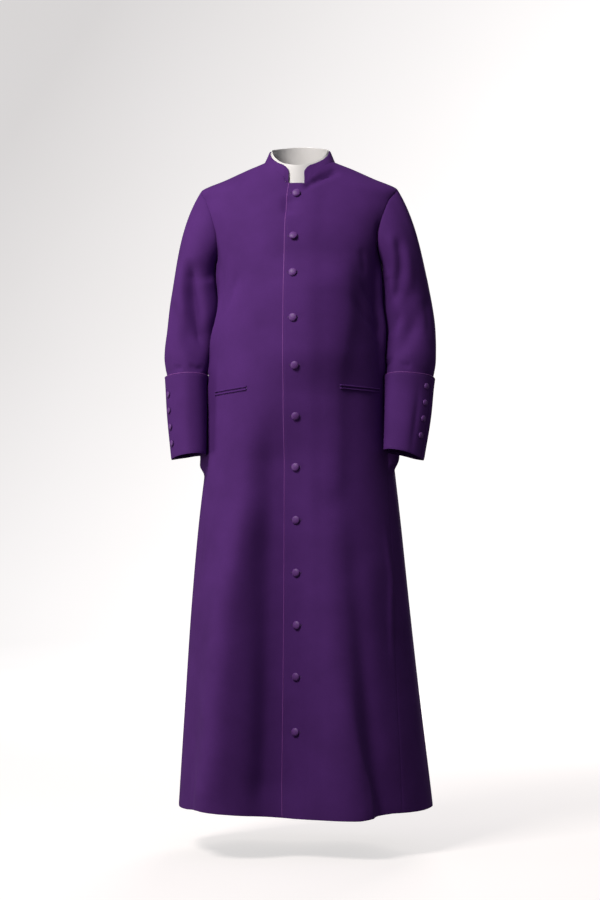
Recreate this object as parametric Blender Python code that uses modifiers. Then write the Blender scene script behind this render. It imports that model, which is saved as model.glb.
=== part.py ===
"""Roman cassock for a bishop, worn: every cut piece is a thin closed wall of cloth.

Run with: blender --background --python part.py

Metres, +Z up. The front faces -Y and the wearer's left is +X. The origin is the middle of the neck
hole at shoulder height, where the wearer's neck and shoulders carry the garment.

The body is one surface of horizontal sections, from which the fronts and the backs are cut. Each
is parted at the waist into two nodes, whose collision pieces lie closer to the cloth. The sleeves start
on the armhole that those panels leave, and what is sewn on a panel is made from that panel's own
points, moved out.
"""

import bmesh
import bpy
import numpy as np
from mathutils import Vector

# --- driving dimensions ------------------------------------------------------------------------

CLOTH = 0.002                  # wall of the fronts, backs and sleeves
COLLAR_WALL = 0.0024           # interlined standing collar
INSERT_WALL = 0.0012           # white band held inside the collar
SEAM_GAP = 0.00035             # clearance between pieces that are sewn together
LAP_GAP = 0.0010               # clearance between two cloths that lie on each other
MITRE_LIMIT = 0.5              # least cosine in a seam's mitre, so that no edge grows a spike

NECK_FRONT_Z = -0.0505         # where the fronts end below the collar's notch
SIDE_NECK_Z = 0.003            # where the shoulder seam meets the collar
SHOULDER_Z = -0.057            # outer end of the shoulder seam
UNDERARM_Z = -0.225
HEM_Z = -1.460

NECK_RING = {"front": 0.079, "side": 0.080, "back": 0.064}
NECK_SEARCH = (0.028, -0.080)  # the neck seam lies between these heights
NOTCH_HALF_WIDTH = 0.017       # half of the gap between the collar's front ends
UNDER_LAP = 0.026              # the right front runs this far under it
LAP_FLAT = 0.004               # the left front lies on it until this far past its edge
LAP_BLEND = 0.034              # and comes down onto the body over this width

ARMHOLE_SPREAD = {+1: np.radians(31.0), -1: np.radians(27.0)}  # left and right

# Distance of the left front's free edge past the centre.
LAP_COLUMNS = ("z", "past")
FRONT_LAP = (
    (-0.050, 0.0212),
    (-0.300, 0.0222),
    (-0.550, 0.0225),
    (-0.900, 0.0240),
    (-1.460, 0.0240),
)

# Rise of the hem above its level at the centre, by degrees from the centre front to the left.
HEM_RISE = (
    (-180, 0.0), (-120, 0.003), (-90, 0.006), (-45, 0.0075), (-25, 0.005), (-8, 0.0005),
    (0, 0.0), (28, 0.0), (38, 0.004), (50, 0.009), (90, 0.006), (120, 0.003), (180, 0.0),
)

# --- body sections, top to bottom ------------------------------------------------------------

BODY_COLUMNS = ("z", "half_right", "half_left", "front", "back", "squareness")
BODY_SECTIONS = (
    (0.030, 0.042, 0.042, 0.048, 0.056, 2.00),
    (0.015, 0.062, 0.062, 0.056, 0.063, 2.00),
    (0.003, 0.083, 0.083, 0.063, 0.070, 2.00),
    (-0.011, 0.119, 0.119, 0.069, 0.079, 2.00),
    (-0.034, 0.171, 0.170, 0.075, 0.091, 2.00),
    (-0.057, 0.225, 0.222, 0.083, 0.100, 2.02),
    (-0.085, 0.225, 0.222, 0.095, 0.108, 2.08),
    (-0.125, 0.214, 0.214, 0.109, 0.116, 2.20),
    (-0.170, 0.199, 0.199, 0.121, 0.120, 2.30),
    (-0.225, 0.184, 0.184, 0.131, 0.120, 2.35),
    (-0.300, 0.178, 0.178, 0.140, 0.114, 2.35),
    (-0.375, 0.187, 0.187, 0.148, 0.107, 2.30),
    (-0.450, 0.193, 0.193, 0.152, 0.107, 2.25),
    (-0.560, 0.201, 0.201, 0.154, 0.119, 2.20),
    (-0.660, 0.2115, 0.2115, 0.154, 0.132, 2.15),
    (-0.806, 0.229, 0.228, 0.156, 0.146, 2.10),
    (-0.987, 0.245, 0.246, 0.163, 0.165, 2.05),
    (-1.214, 0.260, 0.268, 0.175, 0.192, 2.00),
    (-1.460, 0.275, 0.294, 0.189, 0.226, 2.00),
)

# Folds and hollows of the body: a soft ridge (+) or trough (-) whose middle runs from one angle to
# another, in degrees from the centre front towards the wearer's left. It grows from "from_z" to its
# full height at "full_z", and fades below "fade_z" where one is given. "sharp" narrows its far side.
FOLD_COLUMNS = ("from_z", "full_z", "fade_z", "angle_top", "angle_low", "height", "width", "sharp")
BODY_FOLDS = (
    (0.010, -0.020, -0.120, 50.0, 52.0, -0.010, 26.0, 1.0),
    (0.010, -0.020, -0.120, -50.0, -52.0, -0.010, 26.0, 1.0),
    (0.010, -0.020, -0.120, 130.0, 128.0, -0.008, 26.0, 1.0),
    (0.010, -0.020, -0.120, -130.0, -128.0, -0.008, 26.0, 1.0),
    (-0.480, -1.460, None, 24.0, 31.0, 0.018, 13.0, 0.60),
    (-0.940, -1.460, None, 36.0, 43.0, -0.031, 10.0, 1.0),
    (-0.560, -1.460, None, -17.0, -21.0, -0.022, 14.0, 1.0),
    (-0.640, -1.460, None, -36.0, -38.0, 0.009, 12.0, 1.0),
    (-0.900, -1.460, None, -50.0, -52.0, -0.010, 9.0, 1.0),
    (-0.600, -1.460, None, 180.0, 180.0, -0.022, 15.0, 1.0),
    (-0.560, -1.460, None, 155.0, 152.0, 0.016, 13.0, 1.0),
    (-0.560, -1.460, None, -155.0, -152.0, 0.016, 13.0, 1.0),
    (-0.640, -1.460, None, 131.0, 126.0, -0.016, 12.0, 1.0),
    (-0.640, -1.460, None, -131.0, -128.0, -0.018, 12.0, 1.0),
    (-0.700, -1.460, None, 108.0, 103.0, 0.012, 12.0, 1.0),
    (-0.700, -1.460, None, -108.0, -105.0, 0.010, 12.0, 1.0),
)

# Side seam: angle from the centre front, moving forwards down the skirt.
SIDE_COLUMNS = ("z", "angle")
SIDE_SEAM = (
    (-0.225, 90.0),
    (-0.375, 84.0),
    (-0.510, 78.0),
    (-0.660, 70.0),
    (-0.987, 61.0),
    (-1.460, 55.0),
)

# --- sleeves -------------------------------------------------------------------------------------

# Sections of the arm's tube below the cap: middle of the section, its long and short half widths,
# and the angle of the long axis from the outward direction towards the back.
ARM_COLUMNS = (
    "z", "out_right", "out_left", "y_right", "y_left",
    "long_half", "short_half", "turn_right", "turn_left",
)
ARM_SECTIONS = (
    (-0.262, 0.2362, 0.2352, 0.010, 0.010, 0.067, 0.0530, 90.0, 88.0),
    (-0.318, 0.2395, 0.2390, 0.018, 0.016, 0.067, 0.0595, 92.0, 86.0),
    (-0.375, 0.2475, 0.2485, 0.016, 0.010, 0.065, 0.0580, 88.0, 78.0),
    (-0.425, 0.2528, 0.2505, 0.006, -0.003, 0.062, 0.0555, 80.0, 66.0),
    (-0.452, 0.2545, 0.2505, -0.001, -0.013, 0.061, 0.0521, 70.0, 54.0),
    (-0.482, 0.2575, 0.2500, -0.009, -0.026, 0.057, 0.0430, 62.0, 43.0),
    (-0.565, 0.2560, 0.2470, -0.024, -0.050, 0.053, 0.0380, 59.0, 38.0),
    (-0.668, 0.2490, 0.2385, -0.046, -0.076, 0.047, 0.0330, 60.0, 42.0),
)
ARM_PROBE = 0.010              # step along the arm at which its direction is measured

ARM_FOLD_COLUMNS = ("from_z", "full_z", "to_z", "angle_top", "angle_low", "height", "width")
# Angles here run round the sleeve from its outer side through the front, in degrees.
ARM_FOLDS = (
    (-0.230, -0.300, -0.470, 78.0, 92.0, -0.0050, 22.0),
    (-0.300, -0.400, -0.480, 40.0, 128.0, -0.0055, 20.0),
    (-0.380, -0.450, -0.485, 20.0, 20.0, 0.0030, 40.0),
    (-0.300, -0.380, -0.470, -140.0, -110.0, -0.0050, 26.0),
)
# Direction in which the sleeve leaves the armhole, outward and down, at its top and its bottom.
CAP_TOP_LEAVE = (0.52, -0.85)
CAP_LOW_LEAVE = (0.60, -0.80)
CAP_SPREAD = 0.30              # how much that direction turns to the front and the back
CAP_PULL = (1.0, 1.1)          # how far the curve runs straight at the armhole and at the arm

CUFF_TOP = -0.481
CUFF_BOTTOM = -0.668
CUFF_FLARE = 0.0022            # the cuff's top stands off the sleeve
CUFF_GAP = 0.0016              # clearance between the sleeve and the cuff over it
CUFF_RISE = 0.018              # the cuff's lower edge is this much higher in front of the wrist
CUFF_LOW_TURN = -40.0          # and lowest at this angle round the arm
SLEEVE_END_INSIDE = 0.006      # the sleeve ends this far above the cuff's lower edge
CUFF_VENT_TURN = 12.0          # where the cuff's ends meet
CUFF_VENT_GAP = 0.0012
CUFF_BUTTON_TURN = 33.0
CUFF_BUTTON_Z = {
    "right": (-0.519, -0.558, -0.597, -0.636),
    "left": (-0.505, -0.543, -0.581, -0.620),
}

# --- collar --------------------------------------------------------------------------------------

COLLAR_LEAN = 0.011            # the collar's top is this much narrower at the sides
COLLAR_LEAN_FRONT = 0.55       # and this share of that in front and behind
COLLAR_TOP_Z = {"front": -0.012, "side": 0.027, "back": 0.043}
COLLAR_TOP_CROWN = 0.006       # the top edge bows up by this much beside the front
COLLAR_SEAT = 0.0007           # clearance under the collar, where straight edges meet a curve
COLLAR_CORNER = 0.020          # radius of the rounded front corners
COLLAR_CORNER_DROP = 0.8       # share of that radius by which a corner drops
INSERT_RISE = 0.005            # the white band shows this much above the collar
INSERT_DROP = 0.006            # and hangs this much below the notch
INSERT_TAPER = 0.0030          # its foot is set in this much more than its top
INSERT_ROWS = 2

# --- trim -----------------------------------------------------------------------------------------

FRONT_BUTTONS = (  # from the centre and height
    (0.000, -0.074), (-0.004, -0.172), (-0.003, -0.2545), (-0.001, -0.3545),
    (0.003, -0.460), (0.0035, -0.572), (0.0025, -0.6845), (0.0035, -0.8015),
    (0.004, -0.918), (0.0055, -1.034), (0.004, -1.148), (0.0025, -1.270),
)
BUTTON_RADIUS = 0.0098
CUFF_BUTTON_RADIUS = 0.0070
BUTTON_SEAT = 0.00045          # clearance under the shank
BUTTON_SEGMENTS = 12
BUTTON_DOME_ANGLES = (62.0, 34.0, 8.0)
# Shares of the button's radius: height of the dome, its thick rim, its foot and its shank.
BUTTON_SHARES = {"dome": 0.50, "rim": 0.16, "foot": 0.97, "shank": 0.34}
SHANK = 0.0016                 # height of the shank
PIPING_RADIUS = 0.0011
PIPING_PROUD = 0.0002          # the front's piping stands this much off the middle of its edge
PIPING_BEVEL = 1
POCKETS = {  # from the centre and height, at the inner and the outer end
    "left": ((0.101, -0.507), (0.184, -0.5145)),
    "right": ((0.107, -0.5095), (0.186, -0.520)),
}
JET_WIDTH = 0.0052
JET_SLOT = 0.0014
JET_WALL = 0.0013

# --- mesh density --------------------------------------------------------------------------------

NOTCH_STEPS = 2
NECK_STEPS = 6
SHOULDER_STEPS = 8
ARMHOLE_STEPS = 10
SKIRT_STEPS = 22
WAIST_STEPS = 4                # of which this many lie above the waist, where a panel is parted
CAP_STEPS = 5
ARM_STEPS = 12
CUFF_COLUMNS = 24
CUFF_ROWS = 5
COLLAR_STEPS_PER_SIDE = 17
COLLAR_ROWS = 3
JET_STEPS = 9
HALVINGS = 50                  # steps of a search by halving
SEAT_ROUNDS = 4                # rounds in finding a point of given height on a panel
SMOOTH_ANGLE = 40.0
WELD = 0.00005

COLOURS = {
    "purple_cloth": ((0.078, 0.026, 0.130), 0.85),
    "piping": ((0.180, 0.055, 0.190), 0.55),
    "white_band": ((0.90, 0.89, 0.87), 0.45),
    "covered_button": ((0.100, 0.036, 0.150), 0.80),
}


# --- small helpers --------------------------------------------------------------------------------

def column(rows, names, name):
    """One named column of a table, as an array."""
    return np.array([row[names.index(name)] for row in rows], float)


def smooth_table(rows, names, name, z):
    """Value of a named column at height z, on a smooth curve through the table's rows."""
    heights = column(rows, names, "z")
    values = column(rows, names, name)
    order = np.argsort(heights)
    heights, values = heights[order], values[order]
    slopes = np.gradient(values, heights)
    z = np.clip(np.asarray(z, float), heights[0], heights[-1])
    k = np.clip(np.searchsorted(heights, z) - 1, 0, len(heights) - 2)
    span = heights[k + 1] - heights[k]
    s = (z - heights[k]) / span
    return (
        (2 * s**3 - 3 * s**2 + 1) * values[k]
        + (s**3 - 2 * s**2 + s) * span * slopes[k]
        + (3 * s**2 - 2 * s**3) * values[k + 1]
        + (s**3 - s**2) * span * slopes[k + 1]
    )


def ramp(x, start, end):
    """0 at start, 1 at end, and smooth between; the two may be in either order."""
    s = np.clip((np.asarray(x, float) - start) / (end - start), 0.0, 1.0)
    return s * s * (3.0 - 2.0 * s)


def unit(v):
    """Vectors along the last axis at length 1."""
    return v / np.maximum(np.linalg.norm(v, axis=-1, keepdims=True), 1e-12)


def wrapped(angle):
    """Angle brought to between -pi and pi."""
    return (angle + np.pi) % (2 * np.pi) - np.pi


def mirrored(points, side):
    """Points of the wearer's left side, put on either side."""
    return points * np.array([side, 1.0, 1.0])


# --- the body's surface ---------------------------------------------------------------------------

def body_sizes(angle, z):
    """Half width on that side and depth on that face of the section at height z."""
    half = np.where(
        np.sin(angle) >= 0,
        smooth_table(BODY_SECTIONS, BODY_COLUMNS, "half_left", z),
        smooth_table(BODY_SECTIONS, BODY_COLUMNS, "half_right", z),
    )
    depth = np.where(
        np.cos(angle) >= 0,
        smooth_table(BODY_SECTIONS, BODY_COLUMNS, "front", z),
        smooth_table(BODY_SECTIONS, BODY_COLUMNS, "back", z),
    )
    return half, depth


def fold_height(angle, z):
    """How far the folds and hollows move the surface out at this angle and height."""
    total = np.zeros(np.broadcast(angle, z).shape)
    for from_z, full_z, fade_z, top, low, height, width, sharp in BODY_FOLDS:
        grown = ramp(z, from_z, full_z)
        if fade_z is not None:
            grown = grown * (1.0 - ramp(z, full_z, fade_z))
        share = np.clip((z - from_z) / (HEM_Z - from_z), 0.0, 1.0)
        middle = np.radians(top + (low - top) * share**2)
        away = wrapped(angle - middle) / np.radians(width)
        away = np.where(away * np.sign(middle + 1e-9) > 0, away / sharp, away)
        total = total + height * grown * np.exp(-(away**2))
    return total


def body_point(angle, z):
    """Point of the cloth's outer surface. The angle is 0 at the centre front, 90 at the left side."""
    angle = np.asarray(angle, float)
    z = np.asarray(z, float)
    half, depth = body_sizes(angle, z)
    n = smooth_table(BODY_SECTIONS, BODY_COLUMNS, "squareness", z)
    s, c = np.sin(angle), np.cos(angle)
    scale = (np.abs(s) ** n + np.abs(c) ** n) ** (-1.0 / n)
    x, y = half * s * scale, -depth * c * scale
    reach = np.hypot(x, y)
    grow = 1.0 + fold_height(angle, z) / reach
    return np.stack([x * grow, y * grow, z + np.zeros_like(x)], axis=-1)


def body_normal(angle, z):
    """Outward direction of the body's surface."""
    step = 1e-3
    along = body_point(angle + step, z) - body_point(angle - step, z)
    down = body_point(angle, z - step) - body_point(angle, z + step)
    return unit(np.cross(down, along))


def angle_at_x(x, z):
    """Angle on the front at which the surface has this x, found by halving."""
    low, high = -0.5 * np.pi, 0.5 * np.pi
    for _ in range(HALVINGS):
        middle = 0.5 * (low + high)
        if body_point(middle, z)[..., 0] < x:
            low = middle
        else:
            high = middle
    return 0.5 * (low + high)


def side_angle(z):
    """Angle of the side seam at height z."""
    return np.radians(smooth_table(SIDE_SEAM, SIDE_COLUMNS, "angle", z))


# --- outlines of the panels, as angle and height ------------------------------------------------

def neck_reach(bearing):
    """Distance of the neck seam from the neck's middle, seen from above."""
    depth = NECK_RING["front"] if np.cos(bearing) >= 0 else NECK_RING["back"]
    return 1.0 / np.hypot(np.sin(bearing) / NECK_RING["side"], np.cos(bearing) / depth)


def neck_seam(bearing):
    """Angle and height at which the body's surface meets the neck seam, seen at this bearing."""
    reach = neck_reach(bearing)
    high, low = NECK_SEARCH
    for _ in range(HALVINGS):
        z = 0.5 * (high + low)
        half, depth = body_sizes(bearing, z)
        angle = np.arctan2(depth * np.sin(bearing), half * np.cos(bearing))
        if np.hypot(*body_point(angle, z)[:2]) < reach:
            high = z
        else:
            low = z
    return float(angle), float(z)


def notch_bearing():
    """Bearing of the collar's front end, half a notch from the centre."""
    return float(np.arctan2(NOTCH_HALF_WIDTH, NECK_RING["front"]))


def shoulder_line():
    """Angles and heights along the shoulder seam, from the neck outwards."""
    z = np.linspace(SIDE_NECK_Z, SHOULDER_Z, SHOULDER_STEPS + 1)
    return [(0.5 * np.pi, float(h)) for h in z]


def armhole_line(face, side):
    """Angles and heights down half of the armhole; face is +1 for the front, -1 for the back."""
    turn = np.linspace(0.0, np.pi, ARMHOLE_STEPS + 1)
    middle = 0.5 * (SHOULDER_Z + UNDERARM_Z)
    z = middle + 0.5 * (SHOULDER_Z - UNDERARM_Z) * np.cos(turn)
    angle = 0.5 * np.pi - face * ARMHOLE_SPREAD[side] * np.sin(turn)
    return list(zip(angle.tolist(), z.tolist()))


def coons(top, bottom, left, right):
    """Grid of angle and height inside four outlines that share their corners."""
    top, bottom, left, right = (np.array(side) for side in (top, bottom, left, right))
    u = np.linspace(0.0, 1.0, len(top))[None, :, None]
    v = np.linspace(0.0, 1.0, len(left))[:, None, None]
    ruled = (1 - v) * top[None] + v * bottom[None] + (1 - u) * left[:, None] + u * right[:, None]
    corners = (
        (1 - u) * (1 - v) * top[0]
        + u * (1 - v) * top[-1]
        + (1 - u) * v * bottom[0]
        + u * v * bottom[-1]
    )
    return ruled - corners


def front_domain(edge_x, side):
    """Angle and height of each grid point of a front, from its front edge to its side.

    The columns run from edge_x, which may lie past the centre, and the rows from the neck and
    shoulder to the hem. The angle is measured on the panel's own side of the body.
    """
    def edge_angle(z):
        return side * angle_at_x(edge_x(z) * side, z)

    notch_z = NECK_FRONT_Z
    first = [
        (side * angle_at_x(x * side, notch_z), notch_z)
        for x in np.linspace(edge_x(notch_z), NOTCH_HALF_WIDTH, NOTCH_STEPS + 1)
    ]
    bearings = np.linspace(notch_bearing(), 0.5 * np.pi, NECK_STEPS + 1)[1:-1]
    neck = [neck_seam(b) for b in bearings]
    top = first + neck + shoulder_line()
    under = np.linspace(edge_angle(UNDERARM_Z), side_angle(UNDERARM_Z), len(top))
    bottom = [(float(a), UNDERARM_Z) for a in under]
    right = armhole_line(+1, side)
    left_z = np.linspace(notch_z, UNDERARM_Z, ARMHOLE_STEPS + 1)
    left = [(edge_angle(z), float(z)) for z in left_z]
    upper = coons(top, bottom, left, right)
    return np.concatenate([upper, skirt_domain(edge_angle, len(top), side)])


def skirt_domain(edge_angle, count, side):
    """Angle and height of the rows between the underarm and the hem."""
    rows = []
    for share in np.linspace(0.0, 1.0, SKIRT_STEPS + 1)[1:]:
        level = UNDERARM_Z + share * (HEM_Z - UNDERARM_Z)
        angles = np.linspace(edge_angle(level), side_angle(level), count)
        rise = np.interp(np.degrees(angles) * side, *np.array(HEM_RISE).T)
        rows.append(np.stack([angles, level + rise * share**2], axis=-1))
    return np.array(rows)


def back_domain(side):
    """Angle and height of each grid point of a back, from the centre seam to its side."""
    bearings = np.linspace(np.pi, 0.5 * np.pi, NECK_STEPS + 1)[:-1]
    top = [neck_seam(b) for b in bearings] + shoulder_line()
    top[0] = (np.pi, top[0][1])
    under = np.linspace(np.pi, side_angle(UNDERARM_Z), len(top))
    bottom = [(float(a), UNDERARM_Z) for a in under]
    left_z = np.linspace(top[0][1], UNDERARM_Z, ARMHOLE_STEPS + 1)
    left = [(np.pi, float(z)) for z in left_z]
    upper = coons(top, bottom, left, armhole_line(-1, side))
    return np.concatenate([upper, skirt_domain(lambda z: np.pi, len(top), side)])


# --- walls -----------------------------------------------------------------------------------------

def wall_faces(rows, cols, closed):
    """Quads of a wall made of an outer and an inner grid, with its rims."""
    count = rows * cols
    last = cols if closed else cols - 1

    def at(layer, r, c):
        return layer * count + r * cols + c % cols

    faces = []
    for r in range(rows - 1):
        for c in range(last):
            faces.append((at(0, r, c), at(0, r + 1, c), at(0, r + 1, c + 1), at(0, r, c + 1)))
            faces.append((at(1, r, c), at(1, r, c + 1), at(1, r + 1, c + 1), at(1, r + 1, c)))
    for c in range(last):
        faces.append((at(0, 0, c), at(0, 0, c + 1), at(1, 0, c + 1), at(1, 0, c)))
        end = rows - 1
        faces.append((at(0, end, c + 1), at(0, end, c), at(1, end, c), at(1, end, c + 1)))
    if not closed:
        for r in range(rows - 1):
            faces.append((at(0, r + 1, 0), at(0, r, 0), at(1, r, 0), at(1, r + 1, 0)))
            end = cols - 1
            faces.append((at(0, r, end), at(0, r + 1, end), at(1, r + 1, end), at(1, r, end)))
    return faces


def add_wall(name, outer, inner, material, closed=False):
    """Object whose outer and inner faces are these two grids of points."""
    rows, cols = outer.shape[:2]
    points = np.concatenate([outer.reshape(-1, 3), inner.reshape(-1, 3)])
    mesh = bpy.data.meshes.new(name)
    mesh.from_pydata(points.tolist(), [], wall_faces(rows, cols, closed))
    work = bmesh.new()
    work.from_mesh(mesh)
    bmesh.ops.triangulate(work, faces=work.faces[:], quad_method="SHORT_EDGE")
    bmesh.ops.recalc_face_normals(work, faces=work.faces[:])
    work.to_mesh(mesh)
    work.free()
    mesh.shade_smooth()
    mesh.set_sharp_from_angle(angle=np.radians(SMOOTH_ANGLE))
    return add_object(name, mesh, material)


def add_object(name, data, material):
    """Object in the cassock's collection, with its material."""
    made = bpy.data.objects.new(name, data)
    data.materials.append(MATERIALS[material])
    PARTS.objects.link(made)
    return made


def seam(points, into_a, into_b, normal_a, normal_b, wall):
    """Outer and inner edge points for two walls that meet along a seam, mitred and set apart.

    into_a and into_b point from the seam into each piece. Returns (outer, inner) of piece a.
    """
    across = unit(unit(into_a) - unit(into_b))
    middle = unit(normal_a + normal_b)
    cosine = np.maximum(np.sum(middle * normal_a, axis=-1, keepdims=True), MITRE_LIMIT)
    outer = points + 0.5 * SEAM_GAP * across
    return outer, outer - middle * wall / cosine


# --- fronts and backs ------------------------------------------------------------------------------

class Panel:
    """A cut piece of the body: outer and inner grids, kept so that trim can be laid on it."""

    def __init__(self, name, domain, side, lift):
        self.name = name
        self.side = side
        angle, z = domain[..., 0] * side, domain[..., 1]
        base = body_point(angle, z)
        self.normal = body_normal(angle, z)
        raised = lift(base[..., 0])[..., None]
        self.outer = base + self.normal * raised
        self.inner = self.outer - self.normal * CLOTH

    def part_from_neighbours(self):
        """Draws the side, centre back and shoulder edges in by half a seam gap."""
        is_back = self.name.startswith("back")
        face = +1 if is_back else -1
        side_seam = self.outer[ARMHOLE_STEPS:, -1]
        across = unit(np.cross(np.gradient(side_seam, axis=0), self.normal[ARMHOLE_STEPS:, -1]))
        inwards = self.outer[ARMHOLE_STEPS:, -2] - side_seam
        across *= np.sign(np.sum(across * inwards, axis=-1, keepdims=True))
        for layer in (self.outer, self.inner):
            layer[ARMHOLE_STEPS:, -1] += 0.5 * SEAM_GAP * across
            layer[0, -SHOULDER_STEPS - 1:, 1] += 0.5 * SEAM_GAP * face
            if is_back:
                layer[:, 0, 0] += 0.5 * SEAM_GAP * self.side

    def meshes(self):
        """The panel's two objects, a seam gap apart at the waist."""
        waist = ARMHOLE_STEPS + WAIST_STEPS
        for word, rows, edge, drop in (
            ("bodice", slice(0, waist + 1), -1, +1), ("skirt", slice(waist, None), 0, -1)
        ):
            layers = [layer[rows].copy() for layer in (self.outer, self.inner)]
            for layer in layers:
                layer[edge, :, 2] += 0.5 * SEAM_GAP * drop
            add_wall(f"{self.name}_{word}", *layers, "purple_cloth")


def no_lift(x):
    """The back and the lower front lie on the body's surface."""
    return np.zeros_like(x)


def upper_front_lift(x):
    """The left front lies on the right one and comes down to the body beyond it."""
    flat_to = UNDER_LAP + LAP_FLAT
    return (CLOTH + LAP_GAP) * (1.0 - ramp(x, flat_to, flat_to + LAP_BLEND))


def body_panels():
    """The four panels, with the seams between them open by the seam gap."""
    upper, under = front_domain(upper_edge, +1), front_domain(under_edge, -1)
    panels = {
        "front_left": Panel("front_left", upper, +1, upper_front_lift),
        "front_right": Panel("front_right", under, -1, no_lift),
        "back_left": Panel("back_left", back_domain(+1), +1, no_lift),
        "back_right": Panel("back_right", back_domain(-1), -1, no_lift),
    }
    for panel in panels.values():
        panel.part_from_neighbours()
    return panels


def upper_edge(z):
    """Where the left front's free edge lies, on its own side of the centre."""
    return -float(smooth_table(FRONT_LAP, LAP_COLUMNS, "past", z))


def under_edge(z):
    """Where the right front's free edge lies, on its own side of the centre."""
    return -UNDER_LAP


# --- sleeves ------------------------------------------------------------------------------------------

def arm_value(name, z, side):
    """One measure of the arm's tube at height z; some differ between left and right."""
    word = "left" if side > 0 else "right"
    column_name = name if name in ARM_COLUMNS else f"{name}_{word}"
    return smooth_table(ARM_SECTIONS, ARM_COLUMNS, column_name, z)


def arm_ring(z, turns, side):
    """Points round the arm's tube at height z; turns run from the outer side through the front."""
    centre = np.array([arm_value("out", z, side), arm_value("y", z, side), z])
    run = [arm_value(name, z - ARM_PROBE, side) - arm_value(name, z + ARM_PROBE, side)
           for name in ("out", "y")]
    down = unit(np.array([*run, -2 * ARM_PROBE]))
    outward = unit(np.array([1.0, 0.0, 0.0]) - down * down[0])
    back = np.cross(outward, down)
    turn = np.radians(arm_value("turn", z, side))
    long_axis = np.cos(turn) * outward + np.sin(turn) * back
    short_axis = np.sin(turn) * outward - np.cos(turn) * back
    along, across = np.cos(turns + turn), np.sin(turns + turn)
    reach = 1.0 / np.hypot(
        along / arm_value("long_half", z, side), across / arm_value("short_half", z, side)
    )
    reach = (reach + arm_fold(turns, z))[:, None]
    return centre + reach * (along[:, None] * long_axis + across[:, None] * short_axis)


def arm_fold(turns, z):
    """Height of the sleeve's folds round one ring."""
    total = np.zeros_like(turns)
    for from_z, full_z, to_z, top, low, height, width in ARM_FOLDS:
        grown = ramp(z, from_z, full_z) * (1.0 - ramp(z, 0.5 * (full_z + to_z), to_z))
        share = np.clip((z - from_z) / (to_z - from_z), 0.0, 1.0)
        middle = np.radians(top + (low - top) * share)
        total += height * grown * np.exp(-((wrapped(turns - middle) / np.radians(width)) ** 2))
    return total


def grid_normals(grid, closed):
    """Outward directions of a grid whose rows run down and columns round through the front."""
    down = np.gradient(grid, axis=0)
    if closed:
        around = np.roll(grid, -1, axis=1) - np.roll(grid, 1, axis=1)
    else:
        around = np.gradient(grid, axis=1)
    return unit(np.cross(around, down))


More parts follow.
